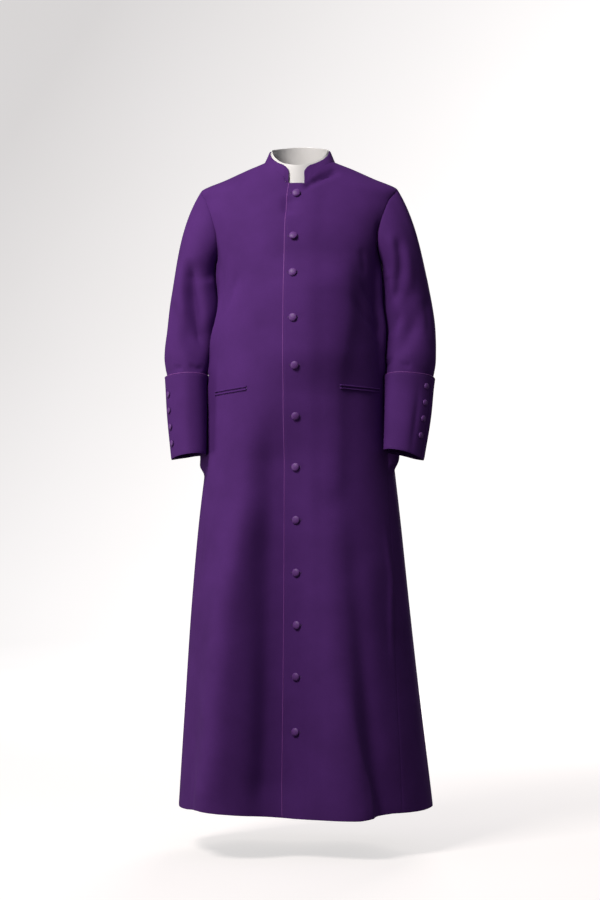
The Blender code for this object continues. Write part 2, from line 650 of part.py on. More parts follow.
class Sleeve:
    """Tube of cloth from the armhole to inside the cuff."""

    def __init__(self, name, side):
        self.name = name
        self.side = side
        seam_line = armhole_line(+1, side) + armhole_line(-1, side)[-2:0:-1]
        angles = np.array([a for a, _ in seam_line])
        heights = np.array([h for _, h in seam_line])
        self.armhole = mirrored(body_point(side * angles, heights), side)
        self.body_normal = mirrored(body_normal(side * angles, heights), side)
        self.turns = 2 * np.pi * np.arange(len(seam_line)) / len(seam_line)
        self.leave, self.grid = self.loft()

    def loft(self):
        """Directions at the armhole, and rings from there over the cap and down the arm."""
        top_z = ARM_SECTIONS[0][0]
        first = arm_ring(top_z, self.turns, self.side)
        second = arm_ring(top_z - ARM_PROBE, self.turns, self.side)
        height = (self.armhole[:, 2] - UNDERARM_Z) / (SHOULDER_Z - UNDERARM_Z)
        outward, downward = (
            low + (top - low) * height for top, low in zip(CAP_TOP_LEAVE, CAP_LOW_LEAVE)
        )
        leave = unit(np.stack([outward, -CAP_SPREAD * np.sin(self.turns), downward], axis=-1))
        pull_first, pull_last = CAP_PULL
        span = np.linalg.norm(first - self.armhole, axis=-1, keepdims=True)
        rings = []
        for s in np.linspace(0.0, 1.0, CAP_STEPS + 1)[:-1]:
            rings.append(
                (2 * s**3 - 3 * s**2 + 1) * self.armhole
                + (s**3 - 2 * s**2 + s) * span * pull_first * leave
                + (3 * s**2 - 2 * s**3) * first
                + (s**3 - s**2) * span * pull_last * unit(second - first)
            )
        end_z = CUFF_BOTTOM + SLEEVE_END_INSIDE
        for z in np.linspace(top_z, end_z, ARM_STEPS + 1):
            rings.append(arm_ring(z, self.turns, self.side) + cuff_rise(self.turns, z))
        return leave, np.array(rings)

    def walls(self, panels):
        """Outer and inner grids, with both edges of the armhole seam mitred."""
        normals = grid_normals(self.grid, closed=True)
        outer = self.grid.copy()
        inner = outer - normals * CLOTH
        around = np.roll(self.armhole, -1, axis=0) - np.roll(self.armhole, 1, axis=0)
        sleeve_normal = unit(np.cross(around, self.leave))
        into_body = unit(np.cross(self.body_normal, around))
        into_body *= np.sign(np.sum(into_body * (self.armhole - self.armhole.mean(0)), axis=-1,
                                    keepdims=True))
        outer[0], inner[0] = seam(self.armhole, self.leave, into_body, sleeve_normal,
                                  self.body_normal, CLOTH)
        edge = seam(self.armhole, into_body, self.leave, self.body_normal, sleeve_normal, CLOTH)
        self.fit_armhole(panels, edge)
        return outer, inner

    def fit_armhole(self, panels, edge):
        """Gives the front's and the back's armhole edge the points that this seam works out."""
        suffix = "left" if self.side > 0 else "right"
        front, back = panels["front_" + suffix], panels["back_" + suffix]
        for layer, points in zip(("outer", "inner"), edge):
            points = mirrored(points, self.side)
            front_layer, back_layer = getattr(front, layer), getattr(back, layer)
            front_rows = points[: ARMHOLE_STEPS + 1]
            back_rows = np.concatenate([points[:1], points[: ARMHOLE_STEPS - 1: -1]])
            front_layer[1:ARMHOLE_STEPS, -1] = front_rows[1:-1]
            back_layer[1:ARMHOLE_STEPS, -1] = back_rows[1:-1]
            for rows, target, face in ((front_rows, front_layer, -1), (back_rows, back_layer, +1)):
                for row in (0, ARMHOLE_STEPS):
                    target[row, -1] = rows[row] + np.array([0.0, 0.5 * SEAM_GAP * face, 0.0])

    def mesh(self, panels):
        """The sleeve's object, once it has given the panels their armhole edges."""
        outer, inner = self.walls(panels)
        return add_wall(self.name, mirrored(outer, self.side), mirrored(inner, self.side),
                        "purple_cloth", closed=True)


# --- cuffs ---------------------------------------------------------------------------------------------

def cuff_rise(turns, z):
    """Vectors that raise the cuff's lower edge in front of the wrist."""
    share = np.clip((CUFF_TOP - z) / (CUFF_TOP - CUFF_BOTTOM), 0.0, 1.0)
    round_arm = 0.5 * (1.0 - np.cos(turns - np.radians(CUFF_LOW_TURN)))
    rise = CUFF_RISE * share**2 * round_arm
    return np.stack([0.0 * rise, 0.0 * rise, rise], axis=-1)


def cuff_grid(side, clearance):
    """Points of the cuff as a strip round the sleeve, from the vent to the vent."""
    vent = np.radians(CUFF_VENT_TURN)
    slit = 0.5 * CUFF_VENT_GAP / ARM_SECTIONS[-1][ARM_COLUMNS.index("long_half")]
    turns = np.linspace(vent + slit, vent + 2 * np.pi - slit, CUFF_COLUMNS + 1)
    rings = []
    for z in np.linspace(CUFF_TOP, CUFF_BOTTOM, CUFF_ROWS + 1):
        ring = arm_ring(z, turns, side)
        middle = 0.5 * (ring.max(axis=0) + ring.min(axis=0))
        share = (z - CUFF_BOTTOM) / (CUFF_TOP - CUFF_BOTTOM)
        stand_off = CUFF_GAP + clearance + CUFF_FLARE * share**2
        rings.append(ring + unit(ring - middle) * stand_off + cuff_rise(turns, z))
    return np.array(rings)


class Cuff:
    """Deep turned-back cuff, open at its vent."""

    def __init__(self, name, side):
        self.name = name
        self.side = side
        self.inner = cuff_grid(side, 0.0)
        self.outer = cuff_grid(side, CLOTH)

    def mesh(self):
        """The cuff's object."""
        return add_wall(self.name, mirrored(self.outer, self.side),
                        mirrored(self.inner, self.side), "purple_cloth")

    def button_seat(self, z):
        """Point and outward direction on the cuff for a button at height z."""
        heights = np.linspace(CUFF_TOP, CUFF_BOTTOM, CUFF_ROWS + 1)
        row = np.interp(z, heights[::-1], np.arange(CUFF_ROWS + 1)[::-1])
        col = (CUFF_BUTTON_TURN - CUFF_VENT_TURN) / 360.0 * CUFF_COLUMNS
        point, normal = seat_on_grid(self.outer, row, col)
        return mirrored(point, self.side), mirrored(normal, self.side)


def seat_on_grid(grid, row, col):
    """Point and direction on the faceted surface of a grid, at fractional row and column."""
    r, c = min(int(row), grid.shape[0] - 2), min(int(col), grid.shape[1] - 2)
    s, t = row - r, col - c
    a, b = grid[r, c], grid[r, c + 1]
    d, e = grid[r + 1, c], grid[r + 1, c + 1]
    point = (1 - s) * ((1 - t) * a + t * b) + s * ((1 - t) * d + t * e)
    normal = unit(np.cross(b - a + e - d, d - a + e - b))
    return point, normal


# --- collar --------------------------------------------------------------------------------------------

def collar_top_z(turn):
    """Height of the collar's top edge at this bearing."""
    share = 0.5 * (1.0 - np.cos(turn))
    values = (COLLAR_TOP_Z["front"], COLLAR_TOP_Z["side"], COLLAR_TOP_Z["back"])
    crown = COLLAR_TOP_CROWN * np.sin(turn) ** 2 * (1 - share)
    return np.interp(share, (0.0, 0.5, 1.0), values) + crown


def neck_turn(bearing):
    """Bearing from the centre front, the same on both sides of the neck."""
    return min(bearing, 2 * np.pi - bearing)


def collar_point(bearing, z, inset):
    """Point at height z on the collar's leaning surface, set in towards the neck."""
    turn = neck_turn(bearing)
    foot = collar_foot_z(turn)
    share = (z - foot) / (collar_top_z(turn) - foot)
    lean = COLLAR_LEAN * (COLLAR_LEAN_FRONT + (1.0 - COLLAR_LEAN_FRONT) * np.sin(turn) ** 2)
    reach = neck_reach(turn) - lean * share - inset
    return np.array([reach * np.sin(bearing), -reach * np.cos(bearing), z])


def collar_foot_z(turn):
    """Height of the neck seam at this bearing, level across the notch."""
    return max(neck_seam(turn)[1], NECK_FRONT_Z)


def collar_grids():
    """Outer and inner grids of the collar, from one side of the notch round the back to the other."""
    start = notch_bearing()
    bearings = np.linspace(start, 2 * np.pi - start, 2 * COLLAR_STEPS_PER_SIDE + 1)
    outer, inner = [], []
    for row in range(COLLAR_ROWS + 1):
        share = 1.0 - row / COLLAR_ROWS
        outer_row, inner_row = [], []
        for bearing in bearings:
            turn = neck_turn(bearing)
            seam_z = collar_foot_z(turn)
            top = collar_top_z(turn)
            arc = (turn - start) * NECK_RING["front"]
            drop = COLLAR_CORNER - np.sqrt(
                max(COLLAR_CORNER**2 - max(COLLAR_CORNER - arc, 0.0) ** 2, 0.0)
            )
            top = top - COLLAR_CORNER_DROP * drop
            z = seam_z + COLLAR_SEAT + share * (top - seam_z)
            outer_row.append(collar_point(bearing, z, 0.0))
            inner_row.append(collar_point(bearing, z, COLLAR_WALL))
        outer.append(outer_row)
        inner.append(inner_row)
    return np.array(outer), np.array(inner)


def insert_grids():
    """Outer and inner grids of the white band, a closed ring inside the collar."""
    count = 2 * COLLAR_STEPS_PER_SIDE
    bearings = np.arange(count) * 2 * np.pi / count
    outer, inner = [], []
    for row in range(INSERT_ROWS + 1):
        share = 1.0 - row / INSERT_ROWS
        outer_row, inner_row = [], []
        for bearing in bearings:
            turn = neck_turn(bearing)
            low = collar_foot_z(turn) - INSERT_DROP
            top = collar_top_z(turn) + INSERT_RISE
            z = low + share * (top - low)
            inset = COLLAR_WALL + LAP_GAP + INSERT_TAPER * (1.0 - share)
            outer_row.append(collar_point(bearing, z, inset))
            inner_row.append(collar_point(bearing, z, inset + INSERT_WALL))
        outer.append(outer_row)
        inner.append(inner_row)
    return np.array(outer), np.array(inner)


# --- buttons, piping and pockets ------------------------------------------------------------------

def button_profile(radius):
    """Half section of a covered button on its shank, from the top of the dome to the shank's foot."""
    dome, rim, foot, shank = (radius * BUTTON_SHARES[name] for name in BUTTON_SHARES)
    top = SHANK + rim
    points = [(0.0, top + dome)]
    points += [(radius * np.cos(a), top + dome * np.sin(a)) for a in np.radians(BUTTON_DOME_ANGLES)]
    return points + [(foot, SHANK), (shank, SHANK), (shank, 0.0), (0.0, 0.0)]


def button_mesh(name, radius):
    """Turned body of a covered button, with its foot at the origin and its dome along +Z."""
    profile = bpy.data.meshes.new(name + "_profile")
    points = [(x, 0.0, z) for x, z in button_profile(radius)]
    edges = [(i, i + 1) for i in range(len(points) - 1)]
    profile.from_pydata(points, edges, [])
    holder = bpy.data.objects.new(name + "_profile", profile)
    PARTS.objects.link(holder)
    screw = holder.modifiers.new("turn", "SCREW")
    screw.steps = BUTTON_SEGMENTS
    screw.render_steps = BUTTON_SEGMENTS
    screw.use_merge_vertices = True
    screw.merge_threshold = WELD
    screw.use_smooth_shade = True
    bpy.context.view_layer.update()
    graph = bpy.context.evaluated_depsgraph_get()
    turned = bpy.data.meshes.new_from_object(holder.evaluated_get(graph))
    turned.name = name
    bpy.data.objects.remove(holder)
    bpy.data.meshes.remove(profile)
    work = bmesh.new()
    work.from_mesh(turned)
    bmesh.ops.remove_doubles(work, verts=work.verts[:], dist=WELD)
    bmesh.ops.recalc_face_normals(work, faces=work.faces[:])
    work.to_mesh(turned)
    work.free()
    return turned


def add_button(name, mesh, point, normal):
    """Button standing on a piece at this point, facing along the normal."""
    made = add_object(name, mesh.copy(), "covered_button")
    facing = Vector(normal.tolist())
    made.location = Vector(point.tolist()) + facing * BUTTON_SEAT
    made.rotation_mode = "QUATERNION"
    made.rotation_quaternion = facing.to_track_quat("Z", "Y")
    return made


def panel_seat(panel, x, z):
    """Point and outward direction on a front's faceted outer surface, at this x and height."""
    grid = panel.outer
    rows = np.arange(grid.shape[0])
    row_z = grid[:, 0, 2]
    row = float(np.interp(-z, -row_z, rows))
    for _ in range(SEAT_ROUNDS):
        r = min(int(row), grid.shape[0] - 2)
        line = grid[r] + (row - r) * (grid[r + 1] - grid[r])
        order = np.argsort(line[:, 0])
        col = float(np.interp(x, line[order, 0], np.arange(grid.shape[1])[order]))
        point, normal = seat_on_grid(grid, row, col)
        row = float(np.clip(row + (point[2] - z) / max(line_spacing(grid, r), 1e-6), 0, rows[-1]))
    return point, normal if normal[1] < 0 else -normal


def line_spacing(grid, row):
    """Height between two rows of a grid at its first column."""
    return abs(grid[row, 0, 2] - grid[row + 1, 0, 2])


def add_piping(name, path):
    """Cord sewn along an edge: a round tube through these points."""
    curve = bpy.data.curves.new(name, "CURVE")
    curve.dimensions = "3D"
    curve.bevel_depth = PIPING_RADIUS
    curve.bevel_resolution = PIPING_BEVEL
    curve.use_fill_caps = True
    spline = curve.splines.new("POLY")
    spline.points.add(len(path) - 1)
    for point, place in zip(spline.points, path):
        point.co = (*place.tolist(), 1.0)
    return add_object(name, curve, "piping")


def front_piping_path(panel):
    """Line just outside the left front's free edge."""
    edge = 0.5 * (panel.outer[:, 0] + panel.inner[:, 0])
    away = unit(edge - panel.outer[:, 1])
    return edge + away * (PIPING_RADIUS + SEAM_GAP) + panel.normal[:, 0] * PIPING_PROUD


def cuff_piping_path(cuff):
    """Line just above the cuff's top edge."""
    edge = 0.5 * (cuff.outer[0] + cuff.inner[0])
    up = unit(cuff.outer[0] - cuff.outer[1])
    return mirrored(edge + up * (PIPING_RADIUS + SEAM_GAP), cuff.side)


def add_jet(name, panel, ends, offset):
    """One lip of a pocket: a strip laid on the front, offset above or below the slot."""
    (inner_x, inner_z), (outer_x, outer_z) = ends
    share = np.linspace(0.0, 1.0, JET_STEPS + 1)
    x = panel.side * (inner_x + share * (outer_x - inner_x))
    z = inner_z + share * (outer_z - inner_z)
    outer, inner = [], []
    for edge in (offset + 0.5 * JET_WIDTH, offset - 0.5 * JET_WIDTH):
        seats = [panel_seat(panel, xx, zz + edge) for xx, zz in zip(x, z)]
        outer.append([p + n * (LAP_GAP + JET_WALL) for p, n in seats])
        inner.append([p + n * LAP_GAP for p, n in seats])
    return add_wall(name, np.array(outer), np.array(inner), "purple_cloth")


# --- the scene -----------------------------------------------------------------------------------------

def clear_scene():
    """Removes what the startup file holds."""
    for old in list(bpy.data.objects):
        bpy.data.objects.remove(old)


def make_materials():
    """One Principled material for each finish."""
    made = {}
    for name, (colour, roughness) in COLOURS.items():
        material = bpy.data.materials.new(name)
        material.use_nodes = True
        shader = material.node_tree.nodes["Principled BSDF"]
        shader.inputs["Base Color"].default_value = (*colour, 1.0)
        shader.inputs["Roughness"].default_value = roughness
        shader.inputs["Metallic"].default_value = 0.0
        material.diffuse_color = (*colour, 1.0)
        made[name] = material
    return made


def main():
    """Builds every piece of the cassock."""
    panels = body_panels()
    cuffs = {}
    for word, side in (("left", +1), ("right", -1)):
        Sleeve("sleeve_" + word, side).mesh(panels)
        cuffs[word] = Cuff("cuff_" + word, side)
        cuffs[word].mesh()
        add_piping("cuff_piping_" + word, cuff_piping_path(cuffs[word]))
    for panel in panels.values():
        panel.meshes()
    add_piping("front_piping", front_piping_path(panels["front_left"]))
    add_wall("collar", *collar_grids(), "purple_cloth")
    add_wall("collar_insert", *insert_grids(), "white_band", closed=True)
    rise = 0.5 * (JET_WIDTH + JET_SLOT)
    for word, ends in POCKETS.items():
        add_jet("pocket_upper_jet_" + word, panels["front_" + word], ends, rise)
        add_jet("pocket_lower_jet_" + word, panels["front_" + word], ends, -rise)
    front_mesh = button_mesh("front_button", BUTTON_RADIUS)
    for number, (x, z) in enumerate(FRONT_BUTTONS, 1):
        point, normal = panel_seat(panels["front_left"], x, z)
        add_button(f"front_button_{number:02d}", front_mesh, point, normal)
    cuff_mesh = button_mesh("cuff_button", CUFF_BUTTON_RADIUS)
    for word, cuff in cuffs.items():
        for number, z in enumerate(CUFF_BUTTON_Z[word], 1):
            point, normal = cuff.button_seat(z)
            add_button(f"cuff_button_{word}_{number}", cuff_mesh, point, normal)


clear_scene()
PARTS = bpy.data.collections.new("cassock")
bpy.context.scene.collection.children.link(PARTS)
MATERIALS = make_materials()
main()
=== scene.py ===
"""Purple Roman cassock, worn and hanging: the visible cloth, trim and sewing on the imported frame.

The body is one smooth surface of level sections with long soft folds. The fronts and backs are cut
from it as thin shells, the sleeves are lofted from the armholes to the arm's sections, and the
collar, cuffs, pockets, piping and buttons are laid on those. Metres, +Z up, the front faces -Y.
"""

import logging
from dataclasses import dataclass, fields
from enum import Enum
from typing import Any, Iterable, Sequence

import bmesh
import bpy
import numpy as np
from mathutils import Matrix, Vector
from mathutils.bvhtree import BVHTree


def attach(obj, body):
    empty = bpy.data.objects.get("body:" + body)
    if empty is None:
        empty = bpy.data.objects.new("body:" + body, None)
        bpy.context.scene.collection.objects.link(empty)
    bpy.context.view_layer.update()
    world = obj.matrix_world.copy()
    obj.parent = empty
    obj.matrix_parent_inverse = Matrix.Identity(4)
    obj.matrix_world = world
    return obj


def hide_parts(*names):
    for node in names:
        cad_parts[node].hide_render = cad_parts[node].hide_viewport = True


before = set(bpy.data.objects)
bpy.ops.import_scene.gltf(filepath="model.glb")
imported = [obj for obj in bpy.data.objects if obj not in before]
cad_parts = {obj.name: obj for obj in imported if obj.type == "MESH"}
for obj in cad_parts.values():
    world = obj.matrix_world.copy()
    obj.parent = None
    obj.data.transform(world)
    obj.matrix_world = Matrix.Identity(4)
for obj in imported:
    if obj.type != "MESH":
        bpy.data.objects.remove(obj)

Array = np.ndarray
Material, Mesh, Object = bpy.types.Material, bpy.types.Mesh, bpy.types.Object
Node, NodeTree = bpy.types.Node, bpy.types.NodeTree
Arrays = tuple[Array, Array]
Pair = tuple[float, float]
Triple = tuple[float, float, float]
Floats = tuple[float, ...]
LOG = logging.getLogger("cassock")

# --- sizes shared by the pieces ---

BODY = "root"
SHELL = 0.0015  # thickness of the dressed cloth
COLLAR_SHELL = 0.0022
BAND_SHELL = 0.0010
LAP_GAP = 0.0010  # clearance between two cloths that lie on each other
CAD_CLOTH = 0.002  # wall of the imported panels, under which the lower front lies

NECK_FRONT_Z = -0.0505
SIDE_NECK_Z = 0.003
SHOULDER_Z = -0.057
UNDERARM_Z = -0.225
HEM_Z = -1.460
FLOOR_Z = -1.550

NOTCH_HALF_WIDTH = 0.017
UNDER_LAP = 0.026
LAP_FLAT = 0.004
LAP_BLEND = 0.034
HALVINGS = 40
MARK_STEPS = 6  # points of a crease's line for each of its marks
SHARP_ANGLE = 55.0  # a wall's rims stay crisp, the folds stay smooth


class Side(Enum):
    """The wearer's side, with its sign along X."""

    LEFT = 1
    RIGHT = -1

    @property
    def word(self) -> str:
        """Lower-case name, as node names hold it."""
        return self.name.lower()

    def mirror(self, points: Array) -> Array:
        """Points of the left side, put on this side."""
        return points * np.array([self.value, 1.0, 1.0])


class Slot(Enum):
    """Material slots of the record."""

    CLOTH = "wool_cloth"
    PIPING = "piping"
    BUTTON = "covered_button"
    BAND = "white_band"


# --- tables of sections and folds ---

@dataclass(frozen=True)
class BodySection:
    """Level section of the body: half widths on each side, depths in front and behind."""

    z: float
    half_right: float
    half_left: float
    front: float
    back: float
    squareness: float


@dataclass(frozen=True)
class ArmSection:
    """Section across the arm: its middle, half widths, and the turn of its long axis in degrees."""

    z: float
    out_right: float
    out_left: float
    y_right: float
    y_left: float
    long_half: float
    short_half: float
    turn_right: float
    turn_left: float


@dataclass(frozen=True)
class Level:
    """One value at one height."""

    z: float
    value: float


@dataclass(frozen=True)
class BodyFold:
    """Soft ridge (+) or trough (-) of the body; angles in degrees from the centre front."""

    from_z: float
    full_z: float
    fade_z: float | None
    angle_top: float
    angle_low: float
    height: float
    width: float
    sharp: float = 1.0


@dataclass(frozen=True)
class ArmFold:
    """Soft ridge (+) or trough (-) of a sleeve; angles in degrees from its outer side."""

    from_z: float
    full_z: float
    to_z: float
    angle_top: float
    angle_low: float
    height: float
    width: float


@dataclass(frozen=True)
class Crease:
    """Small fold along a line of (degrees, z) on the body or a sleeve, that fades at both ends.

    height is its rise (+) or depth (-), width its half width, and lean narrows one side of it.
    """

    path: tuple[Pair, ...]
    height: float
    width: float
    lean: float = 1.0
    fade: float = 0.35


BODY_SECTIONS = tuple(BodySection(*row) for row in (
    (0.030, 0.042, 0.042, 0.048, 0.056, 2.00),
    (0.015, 0.062, 0.062, 0.056, 0.063, 2.00),
    (0.003, 0.083, 0.083, 0.063, 0.070, 2.00),
    (-0.011, 0.119, 0.119, 0.069, 0.079, 2.00),
    (-0.034, 0.171, 0.170, 0.075, 0.091, 2.00),
    (-0.057, 0.225, 0.222, 0.083, 0.100, 2.02),
    (-0.085, 0.225, 0.222, 0.095, 0.108, 2.08),
    (-0.125, 0.214, 0.214, 0.109, 0.116, 2.20),
    (-0.170, 0.199, 0.199, 0.121, 0.120, 2.30),
    (-0.225, 0.184, 0.184, 0.131, 0.120, 2.35),
    (-0.300, 0.178, 0.178, 0.140, 0.114, 2.35),
    (-0.375, 0.187, 0.187, 0.148, 0.107, 2.30),
    (-0.450, 0.193, 0.193, 0.152, 0.107, 2.25),
    (-0.560, 0.201, 0.201, 0.154, 0.119, 2.20),
    (-0.660, 0.2115, 0.2115, 0.154, 0.132, 2.15),
    (-0.806, 0.229, 0.228, 0.156, 0.146, 2.10),
    (-0.987, 0.245, 0.246, 0.163, 0.165, 2.05),
    (-1.214, 0.260, 0.268, 0.175, 0.192, 2.00),
    (-1.460, 0.275, 0.294, 0.189, 0.226, 2.00),
))

BODY_FOLDS = tuple(BodyFold(*row) for row in (
    (0.010, -0.020, -0.120, 50.0, 52.0, -0.010, 26.0),
    (0.010, -0.020, -0.120, -50.0, -52.0, -0.010, 26.0),
    (0.010, -0.020, -0.120, 130.0, 128.0, -0.008, 26.0),
    (0.010, -0.020, -0.120, -130.0, -128.0, -0.008, 26.0),
    (-0.480, -1.460, None, 22.5, 29.5, 0.018, 13.0, 0.60),
    (-0.940, -1.460, None, 36.0, 43.0, -0.018, 10.0),
    (-0.480, -1.460, None, -11.0, -4.0, -0.032, 18.0),
    (-0.460, -1.460, None, -31.0, -29.5, 0.050, 15.0, 1.90),
    (-0.900, -1.460, None, -50.0, -52.0, -0.010, 9.0),
    (-0.600, -1.460, None, 180.0, 180.0, -0.022, 15.0),
    (-0.560, -1.460, None, 155.0, 152.0, 0.016, 13.0),
    (-0.560, -1.460, None, -155.0, -152.0, 0.016, 13.0),
    (-0.640, -1.460, None, 131.0, 126.0, -0.016, 12.0),
    (-0.640, -1.460, None, -131.0, -128.0, -0.018, 12.0),
    (-0.700, -1.460, None, 108.0, 103.0, 0.012, 12.0),
    (-0.700, -1.460, None, -108.0, -105.0, 0.010, 12.0),
))

SIDE_SEAM = tuple(Level(*row) for row in (
    (-0.225, 90.0), (-0.375, 84.0), (-0.510, 78.0), (-0.660, 70.0), (-0.987, 61.0), (-1.460, 55.0),
))

FRONT_LAP = tuple(Level(*row) for row in (
    (-0.050, 0.0168), (-0.078, 0.0198), (-0.115, 0.0215), (-0.300, 0.0222), (-0.550, 0.0225),
    (-0.900, 0.0240), (-1.460, 0.0240),
))

# Rise of the hem above its level at the centre, by degrees from the centre front to the left.
HEM_RISE = (
    (-180, 0.0), (-120, 0.003), (-90, 0.006), (-58, 0.010), (-40, 0.0175), (-26, 0.0135),
    (-17, 0.0085), (-8, 0.003), (0, 0.0), (28, 0.0), (38, 0.004), (50, 0.009), (90, 0.006),
    (120, 0.003), (180, 0.0),
)

ARM_SECTIONS = tuple(ArmSection(*row) for row in (
    (-0.262, 0.2362, 0.2352, 0.010, 0.010, 0.067, 0.0530, 90.0, 88.0),
    (-0.318, 0.2395, 0.2390, 0.018, 0.016, 0.067, 0.0595, 92.0, 86.0),
    (-0.375, 0.2475, 0.2485, 0.016, 0.010, 0.065, 0.0580, 88.0, 78.0),
    (-0.425, 0.2528, 0.2505, 0.006, -0.003, 0.062, 0.0555, 80.0, 66.0),
    (-0.452, 0.2545, 0.2505, -0.001, -0.013, 0.061, 0.0521, 70.0, 54.0),
    (-0.482, 0.2575, 0.2500, -0.009, -0.026, 0.057, 0.0430, 62.0, 43.0),
    (-0.565, 0.2560, 0.2470, -0.024, -0.050, 0.053, 0.0380, 59.0, 38.0),
    (-0.668, 0.2490, 0.2385, -0.046, -0.076, 0.047, 0.0330, 60.0, 42.0),
))

ARM_FOLDS = tuple(ArmFold(*row) for row in (
    (-0.230, -0.300, -0.470, 78.0, 92.0, -0.0050, 22.0),
    (-0.300, -0.400, -0.480, 40.0, 128.0, -0.0055, 20.0),
    (-0.380, -0.450, -0.485, 20.0, 20.0, 0.0030, 40.0),
    (-0.300, -0.380, -0.470, -140.0, -110.0, -0.0050, 26.0),
))


# --- numbers ---

def ramp(x: Any, start: float, end: float) -> Array:
    """0 at start, 1 at end, and smooth between.

    Args:
        x: Places at which it is read.
        start: Where it is 0.
        end: Where it is 1, on either side of start.

    Returns:
        An array of the shape of x.
    """
    s = np.clip((np.asarray(x, float) - start) / (end - start), 0.0, 1.0)
    return s * s * (3.0 - 2.0 * s)


def unit(v: Array) -> Array:
    """Vectors along the last axis at length 1."""
    return v / np.maximum(np.linalg.norm(v, axis=-1, keepdims=True), 1e-12)


def wrapped(angle: Array) -> Array:
    """Angles brought to between -pi and pi."""
    return (angle + np.pi) % (2 * np.pi) - np.pi


def stepped(count: int, ends: Sequence[float]) -> Array:
    """Even shares from 0 to 1, with extra ones beside both ends.

    Args:
        count: Number of even steps; those that lie beside the ends are left out.
        ends: Distances of the extra shares from each end, rising from 0.

    Returns:
        The sorted shares.
    """
    share, near = np.linspace(0.0, 1.0, count + 1), np.array(ends)
    clear = 1.5 * near[-1]
    middle = share[(share > clear) & (share < 1.0 - clear)]
    return np.unique(np.concatenate([near, middle, 1.0 - near]))


def run_length(grid: Array, axis: int) -> Array:
    """Distance of each grid point from the grid's start, measured along an axis."""
    steps = np.linalg.norm(np.diff(grid, axis=axis), axis=-1)
    pad = [(0, 0), (0, 0)]
    pad[axis] = (1, 0)
    return np.cumsum(np.pad(steps, pad), axis=axis)


def hermite(s: Any, a: Array, from_a: Array, b: Array, to_b: Array) -> Array:
    """Cubic curve from a to b at shares s, with these slopes at its two ends.

    Args:
        s: The shares.
        a: Start.
        from_a: Slope there.
        b: End.
        to_b: Slope there.

    Returns:
        The curve's values.
    """
    return (
        (2 * s**3 - 3 * s**2 + 1) * a + (s**3 - 2 * s**2 + s) * from_a
        + (3 * s**2 - 2 * s**3) * b + (s**3 - s**2) * to_b
    )


def rolled(grid: Array, depth: float, width: float) -> Array:
    """How far a piece's surface rolls in beside its four edges.

    Args:
        grid: Points, (rows, columns, 3).
        depth: How far at the very edge.
        width: Distance over which it fades.

    Returns:
        Depths, (rows, columns).
    """
    across, down = run_length(grid, 1), run_length(grid, 0)
    distance = np.minimum.reduce([across, across[:, -1:] - across, down, down[-1:] - down])
    return depth * np.exp(-((distance / width) ** 2))


def softened(field: Array, rounds: int) -> Array:
    """A grid of heights, averaged with its neighbours a few times."""
    for _ in range(rounds):
        padded = np.pad(field, 1, mode="edge")
        field = 0.5 * field + 0.125 * (
            padded[:-2, 1:-1] + padded[2:, 1:-1] + padded[1:-1, :-2] + padded[1:-1, 2:]
        )
    return field


class SmoothTable:
    """Columns of a table of sections, read at any height on smooth curves."""

    def __init__(self, rows: Sequence[Any]) -> None:
        """Sorts the rows by height and keeps each column as an array."""
        ordered = sorted(rows, key=lambda row: row.z)
        self.heights = np.array([row.z for row in ordered])
        self.columns = {
            field.name: np.array([getattr(row, field.name) for row in ordered])
            for field in fields(ordered[0])
        }

    def at(self, name: str, z: Any) -> Array:
        """Value of a column at height z.

        Args:
            name: The column.
            z: Heights.

        Returns:
            Values, on a cubic curve through the table's rows.
        """
        heights, values = self.heights, self.columns[name]
        slopes = np.gradient(values, heights)
        z = np.clip(np.asarray(z, float), heights[0], heights[-1])
        k = np.clip(np.searchsorted(heights, z) - 1, 0, len(heights) - 2)
        span = heights[k + 1] - heights[k]
        s = (z - heights[k]) / span
        return hermite(s, values[k], span * slopes[k], values[k + 1], span * slopes[k + 1])


def crease_height(crease: Crease, line: Array, points: Array, normals: Array) -> Array:
    """How far a crease moves points of a surface out.

    Args:
        crease: The crease.
        line: Points along it on the surface, (m, 3).
        points: Points of the surface, (..., 3).
        normals: Their outward directions.

    Returns:
        Heights of the shape of points without its last axis.
    """
    best = np.full(points.shape[:-1], np.inf)
    share = np.zeros_like(best)
    side = np.zeros_like(best)
    for k in range(len(line) - 1):
        along = line[k + 1] - line[k]
        t = np.clip((points - line[k]) @ along / (along @ along), 0.0, 1.0)
        away = points - line[k] - t[..., None] * along
        distance = np.linalg.norm(away, axis=-1)
        nearer = distance < best
        best = np.where(nearer, distance, best)
        share = np.where(nearer, (k + t) / (len(line) - 1), share)
        across = np.cross(normals, unit(along))
        side = np.where(nearer, np.sum(across * away, axis=-1), side)
    width = np.where(side > 0, crease.width * crease.lean, crease.width)
    taper = ramp(share, 0.0, crease.fade) * ramp(share, 1.0, 1.0 - crease.fade)
    return crease.height * taper * np.exp(-((best / width) ** 2))


def smooth_line(marks: Sequence[Pair], count: int) -> Array:
    """Points on a smooth curve through marks, two numbers each."""
    spots = np.array(marks, float)
    slopes = np.gradient(spots, axis=0)
    t = np.linspace(0.0, len(spots) - 1.0, count)
    k = np.clip(t.astype(int), 0, len(spots) - 2)
    return hermite((t - k)[:, None], spots[k], slopes[k], spots[k + 1], slopes[k + 1])


# --- the body's form ---

